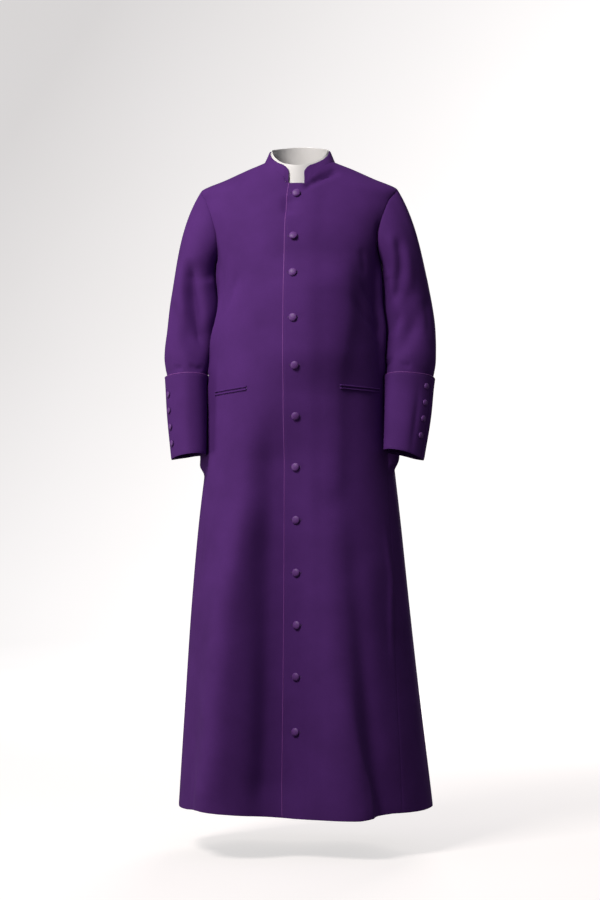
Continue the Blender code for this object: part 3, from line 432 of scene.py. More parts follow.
class BodyForm:
    """The surface that the fronts and backs are cut from, by angle and height."""

    NECK = {"front": 0.079, "side": 0.080, "back": 0.064}
    NECK_SEARCH = (0.028, -0.080)
    NOTCH_LEVEL = (0.262, 0.400)  # bearings between which the seam leaves the notch's level

    def __init__(self, creases: Iterable[Crease]) -> None:
        """Reads the tables, and lays each crease's line on the surface.

        Args:
            creases: The creases that lie on it.
        """
        self.table = SmoothTable(BODY_SECTIONS)
        self.side_table = SmoothTable(SIDE_SEAM)
        self.lap_table = SmoothTable(FRONT_LAP)
        self.creases = []
        for crease in creases:
            marks = smooth_line(crease.path, MARK_STEPS * len(crease.path))
            self.creases.append((crease, self.point(np.radians(marks[:, 0]), marks[:, 1])))

    def sizes(self, angle: Array, z: Array) -> Arrays:
        """Half width on that side and depth on that face at height z.

        Args:
            angle: Angles.
            z: Heights.

        Returns:
            The half widths, and the depths.
        """
        half = np.where(
            np.sin(angle) >= 0, self.table.at("half_left", z), self.table.at("half_right", z)
        )
        depth = np.where(
            np.cos(angle) >= 0, self.table.at("front", z), self.table.at("back", z)
        )
        return half, depth

    def fold_height(self, angle: Array, z: Array) -> Array:
        """How far the long folds move the surface out.

        Args:
            angle: Angles from the centre front.
            z: Heights.

        Returns:
            How far, with all the folds added up.
        """
        total = np.zeros(np.broadcast(angle, z).shape)
        for fold in BODY_FOLDS:
            grown = ramp(z, fold.from_z, fold.full_z)
            if fold.fade_z is not None:
                grown = grown * (1.0 - ramp(z, fold.full_z, fold.fade_z))
            share = np.clip((z - fold.from_z) / (HEM_Z - fold.from_z), 0.0, 1.0)
            middle = np.radians(fold.angle_top + (fold.angle_low - fold.angle_top) * share**2)
            away = wrapped(angle - middle) / np.radians(fold.width)
            away = np.where(away * np.sign(middle + 1e-9) > 0, away / fold.sharp, away)
            total = total + fold.height * grown * np.exp(-(away**2))
        return total

    def point(self, angle: Any, z: Any) -> Array:
        """Points of the cloth's outer face; angle 0 is the centre front, 90 degrees the left side.

        Args:
            angle: Angles.
            z: Heights.

        Returns:
            Points, with x, y and z along the last axis.
        """
        angle = np.asarray(angle, float)
        z = np.asarray(z, float)
        half, depth = self.sizes(angle, z)
        n = self.table.at("squareness", z)
        s, c = np.sin(angle), np.cos(angle)
        scale = (np.abs(s) ** n + np.abs(c) ** n) ** (-1.0 / n)
        x, y = half * s * scale, -depth * c * scale
        grow = 1.0 + self.fold_height(angle, z) / np.hypot(x, y)
        return np.stack([x * grow, y * grow, z + np.zeros_like(x)], axis=-1)

    def normal(self, angle: Any, z: Any) -> Array:
        """Outward directions of the surface."""
        step = 1e-3
        along = self.point(angle + step, z) - self.point(angle - step, z)
        down = self.point(angle, z - step) - self.point(angle, z + step)
        return unit(np.cross(down, along))

    def creased(self, angle: Array, z: Array) -> tuple[Array, Array, Array]:
        """Points, directions and crease heights of the surface."""
        points, normals = self.point(angle, z), self.normal(angle, z)
        height = np.zeros(points.shape[:-1])
        for crease, line in self.creases:
            height += crease_height(crease, line, points, normals)
        return points, normals, height

    def angle_at_x(self, x: Array, z: Array) -> Array:
        """Angles on the front at which the surface has these x, found by halving.

        Args:
            x: Places across the garment.
            z: Heights.

        Returns:
            The angles.
        """
        x, z = np.broadcast_arrays(np.asarray(x, float), np.asarray(z, float))
        low = np.full(x.shape, -0.5 * np.pi)
        high = np.full(x.shape, 0.5 * np.pi)
        for _ in range(HALVINGS):
            middle = 0.5 * (low + high)
            left_of = self.point(middle, z)[..., 0] < x
            low = np.where(left_of, middle, low)
            high = np.where(left_of, high, middle)
        return 0.5 * (low + high)

    def side_angle(self, z: Array) -> Array:
        """Angle of the side seam at height z."""
        return np.radians(self.side_table.at("value", z))

    def neck_reach(self, bearing: Array) -> Array:
        """Distance of the neck seam from the neck's middle, seen from above."""
        depth = np.where(np.cos(bearing) >= 0, self.NECK["front"], self.NECK["back"])
        return 1.0 / np.hypot(np.sin(bearing) / self.NECK["side"], np.cos(bearing) / depth)

    def neck_seam(self, bearing: Array) -> Arrays:
        """Angle and height at which the surface meets the neck seam at these bearings.

        Args:
            bearing: Directions from the neck's middle, 0 at the front.

        Returns:
            The angles, and the heights.
        """
        bearing = np.asarray(bearing, float)
        high = np.full(bearing.shape, self.NECK_SEARCH[0])
        low = np.full(bearing.shape, self.NECK_SEARCH[1])
        for _ in range(HALVINGS):
            z = 0.5 * (high + low)
            half, depth = self.sizes(bearing, z)
            angle = np.arctan2(depth * np.sin(bearing), half * np.cos(bearing))
            spot = self.point(angle, z)
            inside = np.hypot(spot[..., 0], spot[..., 1]) < self.neck_reach(bearing)
            high = np.where(inside, z, high)
            low = np.where(inside, low, z)
        flat = 1.0 - ramp(np.abs(wrapped(bearing)), *self.NOTCH_LEVEL)
        z = z + flat * (NECK_FRONT_Z - z)
        half, depth = self.sizes(bearing, z)
        return np.arctan2(depth * np.sin(bearing), half * np.cos(bearing)), z

    def notch_bearing(self) -> float:
        """Bearing of the collar's front end, half a notch from the centre."""
        return float(np.arctan2(NOTCH_HALF_WIDTH, self.NECK["front"]))


class Armhole:
    """The seam line between the body and a sleeve."""

    SPREAD = {Side.LEFT: np.radians(31.0), Side.RIGHT: np.radians(27.0)}

    def __init__(self, side: Side) -> None:
        """Keeps the side."""
        self.side = side

    def at(self, turn: Array) -> Arrays:
        """Angle on its own side and height; turn 0 is the shoulder, and it runs down the front."""
        middle = 0.5 * (SHOULDER_Z + UNDERARM_Z)
        z = middle + 0.5 * (SHOULDER_Z - UNDERARM_Z) * np.cos(turn)
        return 0.5 * np.pi - self.SPREAD[self.side] * np.sin(turn), z


# --- meshes ---

def mesh_of(name: str, points: Array | list, faces: Array | list, edges: Sequence = ()) -> Mesh:
    """Mesh of these points and faces, or of loose edges.

    Args:
        name: Its name.
        points: Its points.
        faces: The point numbers of each face.
        edges: The point numbers of each loose edge.

    Returns:
        The mesh.
    """
    mesh = bpy.data.meshes.new(name)
    mesh.from_pydata(np.asarray(points).tolist(), list(edges), [list(face) for face in faces])
    return mesh


def in_scene(name: str, data: Any) -> Object:
    """New object of this data, linked to the scene."""
    made = bpy.data.objects.new(name, data)
    bpy.context.scene.collection.objects.link(made)
    return made


def ringed(grid: Array, closed: bool) -> Array:
    """The grid, with its first column again behind its last one if it runs all round."""
    return np.concatenate([grid, grid[:, :1]], axis=1) if closed else grid


def quads_of(index: Array) -> Array:
    """Corners of the quads of a grid of point numbers, (n, 4)."""
    corners = [index[:-1, :-1], index[:-1, 1:], index[1:, 1:], index[1:, :-1]]
    return np.stack(corners, axis=-1).reshape(-1, 4)


def rim(edge: Array, under: Array) -> Array:
    """Quads between an edge's points and the points under them."""
    return np.stack([edge[:-1], edge[1:], under[1:], under[:-1]], axis=-1)


def wall_mesh(name: str, outer: Array, inner: Array, closed: bool = False) -> Mesh:
    """Closed wall between two grids of points, with a UV map in metres of cloth.

    Args:
        name: The mesh's name.
        outer: Outer points, (rows, columns, 3).
        inner: Inner points, one for each outer one.
        closed: True if the last column joins the first.

    Returns:
        A mesh whose faces point outwards.
    """
    ring = ringed(outer, closed)
    face = np.arange(ring[..., 0].size).reshape(ring.shape[:2])
    back = face + face.size
    # The two faces of the wall run opposite ways round; indices count the map's own columns.
    quads = [quads_of(face)[:, [0, 3, 2, 1]], quads_of(back)]
    quads += [rim(face[0], back[0]), rim(back[-1], face[-1])]
    if not closed:
        quads += [rim(back[:, 0], face[:, 0]), rim(face[:, -1], back[:, -1])]
    corners = np.concatenate(quads)
    points = np.concatenate([outer.reshape(-1, 3), inner.reshape(-1, 3)])
    layer, place_on = np.divmod(corners, face.size)
    row, col = np.divmod(place_on, ring.shape[1])
    rows, cols = outer.shape[:2]
    faces = (layer * rows + row) * cols + col % cols
    a, b, c, d = (points[faces[:, k]] for k in range(4))
    if np.sum(a * np.cross(b, c)) + np.sum(a * np.cross(c, d)) < 0:
        place_on, faces = place_on[:, ::-1], faces[:, ::-1]
    mesh = mesh_of(name, points, faces)
    uv = np.stack([run_length(ring, 1), -run_length(ring, 0)], axis=-1).reshape(-1, 2)
    uv = uv[place_on.ravel()].astype(np.float32)
    mesh.uv_layers.new(name="cloth").data.foreach_set("uv", uv.ravel())
    mesh.shade_smooth()
    mesh.set_sharp_from_angle(angle=np.radians(SHARP_ANGLE))
    return mesh


def surface_tree(grids: Sequence[tuple[Array, bool]]) -> BVHTree:
    """Search tree over the faces of several grids, each open or closed round.

    Args:
        grids: Grids of points, each with True if it runs all round.

    Returns:
        The tree.
    """
    points, faces, start = [], [], 0
    for grid, closed in grids:
        spot = start + np.arange(grid[..., 0].size).reshape(grid.shape[:2])
        faces += quads_of(ringed(spot, closed)).tolist()
        points += grid.reshape(-1, 3).tolist()
        start = len(points)
    return BVHTree.FromPolygons(points, faces)


def grid_normals(grid: Array, closed: bool = False) -> Array:
    """Directions square to a grid of points, from its neighbours.

    Args:
        grid: Points, (rows, columns, 3).
        closed: True if the last column joins the first.

    Returns:
        Unit vectors, one for each point.
    """
    down = np.gradient(grid, axis=0)
    if closed:
        around = np.roll(grid, -1, axis=1) - np.roll(grid, 1, axis=1)
    else:
        around = np.gradient(grid, axis=1)
    return unit(np.cross(around, down))


def place(name: str, mesh: Mesh, finish: Material, slot: Slot, *nodes: str) -> Object:
    """Makes a piece from a mesh, which rides on the garment and stands for its nodes.

    Args:
        name: The piece's name.
        mesh: Its mesh, in place.
        finish: Its material.
        slot: The record's slot of that finish; not used.
        nodes: The CAD nodes that it replaces.

    Returns:
        The new object.
    """
    piece = in_scene(name, mesh)
    mesh.materials.clear()
    mesh.materials.append(finish)
    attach(piece, BODY)
    if nodes:
        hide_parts(*nodes)
    mesh.calc_loop_triangles()
    LOG.info("%s: %d triangles", name, len(mesh.loop_triangles))
    return piece


def tube_mesh(name: str, path: Array, radius: float, sides: int) -> Mesh:
    """Round cord through these points, with closed ends.

    Args:
        name: The mesh's name.
        path: Points along its middle, (m, 3).
        radius: The cord's radius.
        sides: Faces round it.

    Returns:
        A mesh with a UV map in metres along and round the cord.
    """
    tangent = unit(np.gradient(path, axis=0))
    first = unit(np.cross(tangent, np.array([0.0, 1.0, 0.02])))
    second = unit(np.cross(tangent, first))
    turn = 2 * np.pi * np.arange(sides) / sides
    ring = np.cos(turn)[:, None, None] * first + np.sin(turn)[:, None, None] * second
    grid = np.swapaxes(path + radius * ring, 0, 1)
    rows, tip = len(path), len(path) * sides
    points = np.concatenate([grid.reshape(-1, 3), path[:1], path[-1:]])
    around = 2 * np.pi * radius / sides * np.arange(sides + 1)
    places = np.stack(np.meshgrid(run_length(path[:, None], 0), around, indexing="ij"), axis=-1)
    spots = places.reshape(-1, 2)[quads_of(np.arange(rows * (sides + 1)).reshape(rows, -1))]
    spots = spots.reshape(-1, 2).tolist()
    index = ringed(np.arange(tip).reshape(rows, sides), True)
    faces = quads_of(index).tolist()
    for c in range(sides):
        faces.append((tip, int(index[0, c + 1]), int(index[0, c])))
        faces.append((tip + 1, int(index[-1, c]), int(index[-1, c + 1])))
        spots += [places[0, c].tolist()] * 3 + [places[-1, c].tolist()] * 3
    mesh = mesh_of(name, points, faces)
    layer = mesh.uv_layers.new(name="cloth")
    layer.data.foreach_set("uv", np.array(spots, np.float32).ravel())
    outward(mesh)
    mesh.shade_smooth()
    return mesh


def outward(mesh: Mesh) -> None:
    """Turns a closed mesh's faces outwards."""
    work = bmesh.new()
    work.from_mesh(mesh)
    bmesh.ops.recalc_face_normals(work, faces=work.faces[:])
    work.to_mesh(mesh)
    work.free()


# --- fronts and backs ---

# The front's right side has negative degrees. A path that runs on below the hem doesn't fade there.
BODY_CREASES = tuple(Crease(*row) for row in (
    # Drag lines from the right armhole.
    (((-43, -0.245), (-47, -0.275), (-54, -0.315), (-63, -0.356)), -0.0036, 0.01),
    (((-52, -0.2), (-59, -0.24), (-66, -0.29), (-72, -0.33)), -0.0022, 0.008),
    # Long edge where the left breast turns to the side, and its run down to the waist.
    (((34, -0.19), (35.7, -0.249), (36.5, -0.3), (35.0, -0.36), (30, -0.427),
     (26.7, -0.492), (25.7, -0.624), (23.7, -0.713), (21.5, -0.778)),
     0.0055, 0.046, 0.55, 0.15),
    # Pulls below the left armhole.
    (((55, -0.12), (60, -0.16), (67, -0.205), (78, -0.255)), -0.0042, 0.0085),
    (((44, -0.195), (49, -0.213), (52, -0.24), (54, -0.265)), -0.0018, 0.009),
    (((37.7, -0.292), (50, -0.34), (60, -0.368), (70, -0.398)), -0.0044, 0.0115),
    (((46, -0.262), (57, -0.298), (67, -0.332), (76, -0.356)), -0.0034, 0.0095),
    (((70, -0.29), (69, -0.335), (68, -0.385), (72, -0.435)), -0.005, 0.013),
    # A pull that runs down from the collar's left foot to the first button.
    (((3, -0.064), (8.2, -0.0533), (18.7, -0.0385), (34, -0.026), (46, -0.014)),
     -0.0078, 0.0075, 1.0, 0.2),
    # Skirt, left: a broad fold whose edge wanders outwards to the hem and sharpens there.
    (((21, -0.74), (20.5, -0.87), (21.2, -0.998), (22.2, -1.087), (24.7, -1.174),
     (26.7, -1.26), (29.2, -1.328), (33.2, -1.395), (34.5, -1.46), (36, -1.56)),
     0.006, 0.055, 0.7, 0.15),
    (((22.5, -1.08), (24.7, -1.174), (26.7, -1.26), (29.2, -1.328), (33.2, -1.395),
     (34.5, -1.46), (36, -1.56)), 0.0036, 0.022, 0.5, 0.3),
    (((58, -0.78), (59.2, -0.869), (60.7, -0.93), (58, -1.000), (56.5, -1.09),
     (57.5, -1.18)), 0.0028, 0.009),
    (((31, -1.34), (33.4, -1.395), (33.8, -1.45), (34.0, -1.54)), 0.0028, 0.006),
    (((40, -0.86), (41, -1.000), (42.5, -1.2), (45, -1.4), (46, -1.56)),
     0.007, 0.034, 1.0, 0.2),
    # Skirt, right: the ridge that swings out, and the long slope and trough beside it.
    (((-24, -0.7), (-27, -0.8), (-30.5, -0.913), (-32.5, -1.000), (-33, -1.091),
     (-33, -1.225), (-34, -1.357), (-36.5, -1.424), (-39.5, -1.54)),
     0.014, 0.038, 1.0, 0.18),
    (((-15, -0.53), (-13.5, -0.62), (-12.5, -0.7), (-12, -0.846), (-12, -1.002),
     (-12, -1.134), (-12, -1.221), (-12.5, -1.353), (-13, -1.432), (-13, -1.54)),
     -0.02, 0.04, 2.3, 0.2),
    # The front is fullest over the belly.
    (((11, -0.2), (12, -0.28), (14, -0.36), (14, -0.44), (11, -0.53)),
     0.02, 0.085, 1.0, 0.3),
    # The right front dips beside the edge that laps over it, below the first button.
    (((-5.8, -0.078), (-5.6, -0.104), (-5.4, -0.13)), -0.006, 0.008, 3.0),
    (((-54.2, -0.82), (-54.6, -0.88), (-54, -0.96)), 0.0018, 0.006),
    (((-51, -1.33), (-52.2, -1.405), (-52.6, -1.47), (-53, -1.56)), 0.0024, 0.006),
    # The hidden back: drag lines from both armholes and slack over the small of the back.
    (((-140, -0.235), (-132, -0.27), (-122, -0.315), (-112, -0.35)), -0.0034, 0.01),
    (((138, -0.24), (130, -0.28), (121, -0.32), (110, -0.345)), -0.0036, 0.0105),
    (((150, -0.15), (146, -0.2), (144, -0.26), (146, -0.32)), 0.0026, 0.015),
    (((-151, -0.145), (-147, -0.2), (-145, -0.25), (-148, -0.31)), 0.0024, 0.015),
    (((-128, -0.44), (-145, -0.455), (-165, -0.448)), -0.0028, 0.011),
    (((118, -0.42), (136, -0.446), (158, -0.452)), -0.003, 0.011),
    (((160, -0.7), (158, -0.9), (155, -1.15), (152, -1.54)), 0.006, 0.024, 0.6, 0.15),
    (((-161, -0.68), (-158, -0.9), (-156, -1.15), (-154, -1.54)), 0.006, 0.024, 0.6, 0.15),
    (((128, -0.8), (127, -1.000), (125, -1.25), (124, -1.54)), -0.0055, 0.02, 1.0, 0.15),
    (((-127, -0.78), (-127, -1.000), (-128, -1.25), (-129, -1.54)), -0.006, 0.021, 1.0, 0.15),
))


@dataclass(frozen=True)
class PanelDensity:
    """Steps of a panel's grid between its corners."""

    across: int = 56
    armhole_rows: int = 40
    skirt_rows: int = 210
    beside_seam: Floats = (0.0, 0.004, 0.008, 0.014, 0.024)
    beside_neck: Floats = (0.0, 0.012, 0.030)


class Panel:
    """A cut piece of the body: its outer and inner grids, which trim is laid on."""

    NOTCH_END = 0.125
    NECK_END = 0.5
    BACK_NECK_END = 0.43
    ROLL = 0.0004  # the seam's edges roll in by this much
    ROLL_WIDTH = 0.0018
    SEAT_ROUNDS = 5
    FILL_FROM_X = 0.10  # only the sides of the body reach for the arms
    FILL_TOP = (-0.192, -0.220)
    FILL_LOW = (-0.800, -0.600)
    FILL_REACH = (0.024, 0.046)
    FILL_TURN = (66.0, 80.0)  # degrees from the centre front, and the same from the back
    FILL_GAP = 0.0010
    FILL_MOST = 0.024
    FILL_SMOOTH = 2

    def __init__(self, form: BodyForm, side: Side, is_front: bool, density: PanelDensity) -> None:
        """Lays out the panel.

        Args:
            form: The body's surface.
            side: The wearer's side.
            is_front: True for a front, False for a back.
            density: Steps of its grid.
        """
        self.form, self.side, self.is_front = form, side, is_front
        self.over = is_front and side is Side.LEFT
        self.armhole = Armhole(side)
        self.across = stepped(density.across, density.beside_seam)
        self.down = stepped(density.armhole_rows, density.beside_neck)
        self.low = np.linspace(0.0, 1.0, density.skirt_rows + 1)[1:]
        angle, z = self.domain()
        self.angle = angle
        base, self.normal, height = form.creased(angle * side.value, z)
        lift = self.lap_lift(base[..., 0]) + height - rolled(base, self.ROLL, self.ROLL_WIDTH)
        self.outer = base + self.normal * lift[..., None]
        self.inner = base + self.normal * (self.lap_lift(base[..., 0]) + height - SHELL)[..., None]

    @property
    def name(self) -> str:
        """Node name of the panel."""
        return ("front_" if self.is_front else "back_") + self.side.word

    def edge_angle(self, z: Array) -> Array:
        """Angle of the front edge, or of the centre seam, on the panel's own side."""
        z = np.asarray(z, float)
        if not self.is_front:
            return np.full(z.shape, np.pi)
        past = self.form.lap_table.at("value", z) if self.over else np.full(z.shape, UNDER_LAP)
        return self.side.value * self.form.angle_at_x(-past * self.side.value, z)

    def top_line(self, u: Array) -> Array:
        """Angle and height along the neck and the shoulder seam, (..., 2).

        Args:
            u: Shares of the way across, from the free edge or the centre seam.

        Returns:
            Angles on the panel's own side, with heights.
        """
        form = self.form
        neck_end = self.NECK_END if self.is_front else self.BACK_NECK_END
        shoulder_z = SIDE_NECK_Z + np.clip((u - neck_end) / (1.0 - neck_end), 0.0, 1.0) * (
            SHOULDER_Z - SIDE_NECK_Z
        )
        shoulder = np.stack([np.full(u.shape, 0.5 * np.pi), shoulder_z], axis=-1)
        if self.is_front:
            share = np.clip((u - self.NOTCH_END) / (neck_end - self.NOTCH_END), 0.0, 1.0)
            start = form.notch_bearing()
        else:
            share = np.clip(u / neck_end, 0.0, 1.0)
            start = np.pi
        angle, z = form.neck_seam(start + share * (0.5 * np.pi - start))
        neck = np.stack([angle, z], axis=-1)
        if self.is_front:
            edge_x = self.side.value * float(
                form.point(self.side.value * self.edge_angle(NECK_FRONT_Z), NECK_FRONT_Z)[0]
            )
            x = edge_x + np.clip(u / self.NOTCH_END, 0.0, 1.0) * (NOTCH_HALF_WIDTH - edge_x)
            level = np.full(u.shape, NECK_FRONT_Z)
            across = self.side.value * form.angle_at_x(x * self.side.value, level)
            neck = np.where((u < self.NOTCH_END)[:, None], np.stack([across, level], axis=-1), neck)
        return np.where((u < neck_end)[:, None], neck, shoulder)

    def domain(self) -> Arrays:
        """Angle, on the panel's own side, and height of each grid point.

        Returns:
            Angles and heights, (rows, columns) each.
        """
        u, v = self.across, self.down
        top = self.top_line(u)
        turn = v * np.pi if self.is_front else -v * np.pi
        right = np.stack(self.armhole.at(turn), axis=-1)
        left_z = top[0, 1] + v * (UNDERARM_Z - top[0, 1])
        left = np.stack([self.edge_angle(left_z), left_z], axis=-1)
        bottom_angle = left[-1, 0] + u * (self.form.side_angle(UNDERARM_Z) - left[-1, 0])
        bottom = np.stack([bottom_angle, np.full(u.shape, UNDERARM_Z)], axis=-1)
        s, t = u[None, :, None], v[:, None, None]
        ruled = (1 - t) * top[None] + t * bottom[None] + (1 - s) * left[:, None] + s * right[:, None]
        corners = (1 - t) * ((1 - s) * top[0] + s * top[-1]) + t * (
            (1 - s) * bottom[0] + s * bottom[-1]
        )
        upper = ruled - corners
        level = (UNDERARM_Z + self.low * (HEM_Z - UNDERARM_Z))[:, None]
        start, end = self.edge_angle(level), self.form.side_angle(level)
        angle = start + u * (end - start)
        rise = np.interp(np.degrees(angle) * self.side.value, *np.array(HEM_RISE).T)
        lower = np.stack([angle, level + rise * self.low[:, None] ** 2], axis=-1)
        whole = np.concatenate([upper, lower])
        return whole[..., 0], whole[..., 1]

    def lap_lift(self, x: Array) -> Array:
        """How far this panel lies off the body: the left front lies on the right one."""
        if not self.over:
            return np.zeros_like(x)
        flat_to = UNDER_LAP + LAP_FLAT
        return (SHELL + LAP_GAP) * (1.0 - ramp(x, flat_to, flat_to + LAP_BLEND))

    def fill_towards(self, arm: BVHTree) -> None:
        """Fills the body's side out until it lies beside the sleeve and the cuff.

        Args:
            arm: The outer faces of the sleeve and the cuff on this side.
        """
        z = self.outer[..., 2]
        side = self.side.value * self.outer[..., 0]
        turn = np.degrees(np.abs(self.angle))
        span = ramp(z, *self.FILL_TOP) * ramp(z, *self.FILL_LOW)
        span = span * ramp(np.minimum(turn, 180.0 - turn), *self.FILL_TURN)
        full, none = self.FILL_REACH
        push = np.zeros(self.outer.shape[:2])
        for row, col in np.argwhere((side > self.FILL_FROM_X) & (span > 0.0)):
            distance = arm.find_nearest(Vector(self.outer[row, col].tolist()))[3]
            wanted = min(max(distance - self.FILL_GAP, 0.0), self.FILL_MOST)
            push[row, col] = wanted * float(ramp(distance, none, full))
        push = softened(push * span, self.FILL_SMOOTH)
        for layer in (self.outer, self.inner):
            layer += self.normal * push[..., None]

    def seat(self, x: float, z: float) -> Arrays:
        """Point and outward direction on the panel's outer face at this x and height.

        Args:
            x: Place across the garment.
            z: The height.

        Returns:
            The point, and the direction there.
        """
        grid = self.outer
        rows = np.arange(grid.shape[0])
        row = float(np.interp(-z, -grid[:, 0, 2], rows))
        for _ in range(self.SEAT_ROUNDS):
            r = min(int(row), grid.shape[0] - 2)
            line = grid[r] + (row - r) * (grid[r + 1] - grid[r])
            order = np.argsort(line[:, 0])
            col = float(np.interp(x, line[order, 0], np.arange(grid.shape[1])[order]))
            point, normal = seat_on_grid(grid, row, col)
            spacing = max(abs(grid[r, 0, 2] - grid[r + 1, 0, 2]), 1e-6)
            row = float(np.clip(row + (point[2] - z) / spacing, 0, rows[-1]))
        return point, normal if normal[1] < 0 else -normal

    def build(self, finish: Material) -> Object:
        """Makes the panel's piece."""
        mesh = wall_mesh(self.name, self.outer, self.inner)
        nodes = [f"{self.name}_{tier}" for tier in TIERS]
        return place("cloth_" + self.name, mesh, finish, Slot.CLOTH, *nodes)


def seat_on_grid(grid: Array, row: float, col: float) -> Arrays:
    """Point and direction on the surface of a grid, at fractional row and column."""
    r, c = min(int(row), grid.shape[0] - 2), min(int(col), grid.shape[1] - 2)
    s, t = row - r, col - c
    a, b, d, e = grid[r, c], grid[r, c + 1], grid[r + 1, c], grid[r + 1, c + 1]
    point = (1 - s) * ((1 - t) * a + t * b) + s * ((1 - t) * d + t * e)
    return point, unit(np.cross(b - a + e - d, d - a + e - b))


# --- sleeves and cuffs ---

# Degrees run from the arm's outer side through its front; above the arm z counts rows of the cap.
ARM_CREASES = {side: tuple(Crease(*row) for row in rows) for side, rows in {
    Side.RIGHT: (
        (((76, -0.19), (84, -0.25), (91, -0.305), (100, -0.345), (114, -0.395), (140, -0.44)),
         -0.016, 0.019, 1.0, 0.22),
        (((58, -0.18), (64, -0.25), (69, -0.305), (76, -0.35), (92, -0.415)), 0.0056, 0.017),
        (((128, -0.215), (131, -0.26), (134, -0.32), (136, -0.38), (138, -0.45)),
         0.01, 0.033, 1.0, 0.5),
        (((102, -0.2), (110, -0.28), (118, -0.345), (130, -0.395)), 0.0032, 0.013),
        (((142, -0.2), (152, -0.28), (162, -0.37)), -0.0042, 0.012),
        (((96, -0.466), (118, -0.4745), (140, -0.466)), -0.0036, 0.006),
        (((56, -0.47), (72.7, -0.4765), (88, -0.471)), -0.003, 0.005),
        (((30, -0.3), (44, -0.36), (52, -0.43)), -0.0022, 0.011),
        (((-150, -0.3), (-122, -0.33), (-94, -0.342)), -0.0042, 0.009),
        (((-162, -0.345), (-130, -0.378), (-100, -0.388)), -0.004, 0.009),
        (((-80, -0.3), (-60, -0.345), (-30, -0.362)), -0.003, 0.009),
    ),
    Side.LEFT: (
        (((82, -0.095), (90, -0.1455), (100, -0.2), (112, -0.265), (119, -0.315)),
         0.004, 0.011, 1.0, 0.25),
        (((75, -0.125), (82, -0.17), (92, -0.23), (101, -0.28), (116, -0.318)),
         -0.0054, 0.012, 1.0, 0.25),
        (((69, -0.15), (75, -0.235), (81, -0.3)), 0.0028, 0.013),
        (((128, -0.23), (122, -0.29), (120, -0.35), (122, -0.41)), -0.006, 0.015),
        (((100, -0.33), (120, -0.372), (142, -0.4)), -0.0034, 0.01),
        (((128, -0.455), (149, -0.466), (168, -0.461)), -0.0042, 0.007),
        (((82, -0.473), (96, -0.478), (112, -0.471)), -0.0032, 0.005),
        (((28, -0.29), (40, -0.35), (46, -0.42)), -0.0022, 0.011),
        (((-152, -0.305), (-126, -0.332), (-96, -0.34)), -0.0042, 0.009),
        (((-160, -0.35), (-128, -0.38), (-104, -0.392)), -0.0038, 0.009),
        (((-84, -0.295), (-62, -0.338), (-34, -0.35)), -0.003, 0.009),
    ),
}.items()}

CUFF_TOP = -0.481
CUFF_BOTTOM = -0.668
CUFF_RISE = {Side.LEFT: 0.018, Side.RIGHT: 0.009}  # of the cuff's lower edge, before the wrist
CUFF_LOW_TURN = -40.0  # and lowest at this angle round the arm
CUFF_RISE_BEHIND = 0.008
CUFF_DIP = {Side.LEFT: (0.014, 100.0), Side.RIGHT: (0.0085, 45.0)}  # of its upper edge, and where


class ArmForm:
    """The tube of one arm, by height and by turn from its outer side through the front."""

    PROBE = 0.010

    def __init__(self, side: Side) -> None:
        """Reads the table for this side."""
        self.side = side
        self.table = SmoothTable(ARM_SECTIONS)

    def value(self, name: str, z: float) -> float:
        """One measure of the tube at height z; some differ between left and right."""
        column = name if name in self.table.columns else f"{name}_{self.side.word}"
        return float(self.table.at(column, z))

    def ring(self, z: float, turns: Array) -> Array:
        """Points round the tube at height z.

        Args:
            z: The height.
            turns: Turns from the arm's outer side through the front.

        Returns:
            Points, one for each turn.
        """
        centre = np.array([self.value("out", z), self.value("y", z), z])
        run = [
            self.value(name, z - self.PROBE) - self.value(name, z + self.PROBE)
            for name in ("out", "y")
        ]
        down = unit(np.array([*run, -2 * self.PROBE]))
        outward = unit(np.array([1.0, 0.0, 0.0]) - down * down[0])
        back = np.cross(outward, down)
        turn = np.radians(self.value("turn", z))
        long_axis = np.cos(turn) * outward + np.sin(turn) * back
        short_axis = np.sin(turn) * outward - np.cos(turn) * back
        along, across = np.cos(turns + turn), np.sin(turns + turn)
        reach = 1.0 / np.hypot(
            along / self.value("long_half", z), across / self.value("short_half", z)
        )
        reach = (reach + self.fold(turns, z))[:, None]
        return centre + reach * (along[:, None] * long_axis + across[:, None] * short_axis)

    @staticmethod
    def fold(turns: Array, z: float) -> Array:
        """Height of the sleeve's long folds round one ring.

        Args:
            turns: Turns round the arm.
            z: The ring's height.

        Returns:
            Heights, one for each turn.
        """
        total = np.zeros_like(turns)
        for fold in ARM_FOLDS:
            fading = 1.0 - ramp(z, 0.5 * (fold.full_z + fold.to_z), fold.to_z)
            share = np.clip((z - fold.from_z) / (fold.to_z - fold.from_z), 0.0, 1.0)
            middle = np.radians(fold.angle_top + (fold.angle_low - fold.angle_top) * share)
            away = wrapped(turns - middle) / np.radians(fold.width)
            total += fold.height * ramp(z, fold.from_z, fold.full_z) * fading * np.exp(-(away**2))
        return total

    def rise(self, turns: Array, z: float) -> Array:
        """Vectors that raise the cuff's lower edge before and behind the wrist."""
        share = np.clip((CUFF_TOP - z) / (CUFF_TOP - CUFF_BOTTOM), 0.0, 1.0)
        round_arm = 0.5 * (1.0 - np.cos(turns - np.radians(CUFF_LOW_TURN)))
        behind = np.clip(-np.sin(turns), 0.0, 1.0) ** 2
        rise = share**2 * (CUFF_RISE[self.side] * round_arm + CUFF_RISE_BEHIND * behind)
        return np.stack([0.0 * rise, 0.0 * rise, rise], axis=-1)


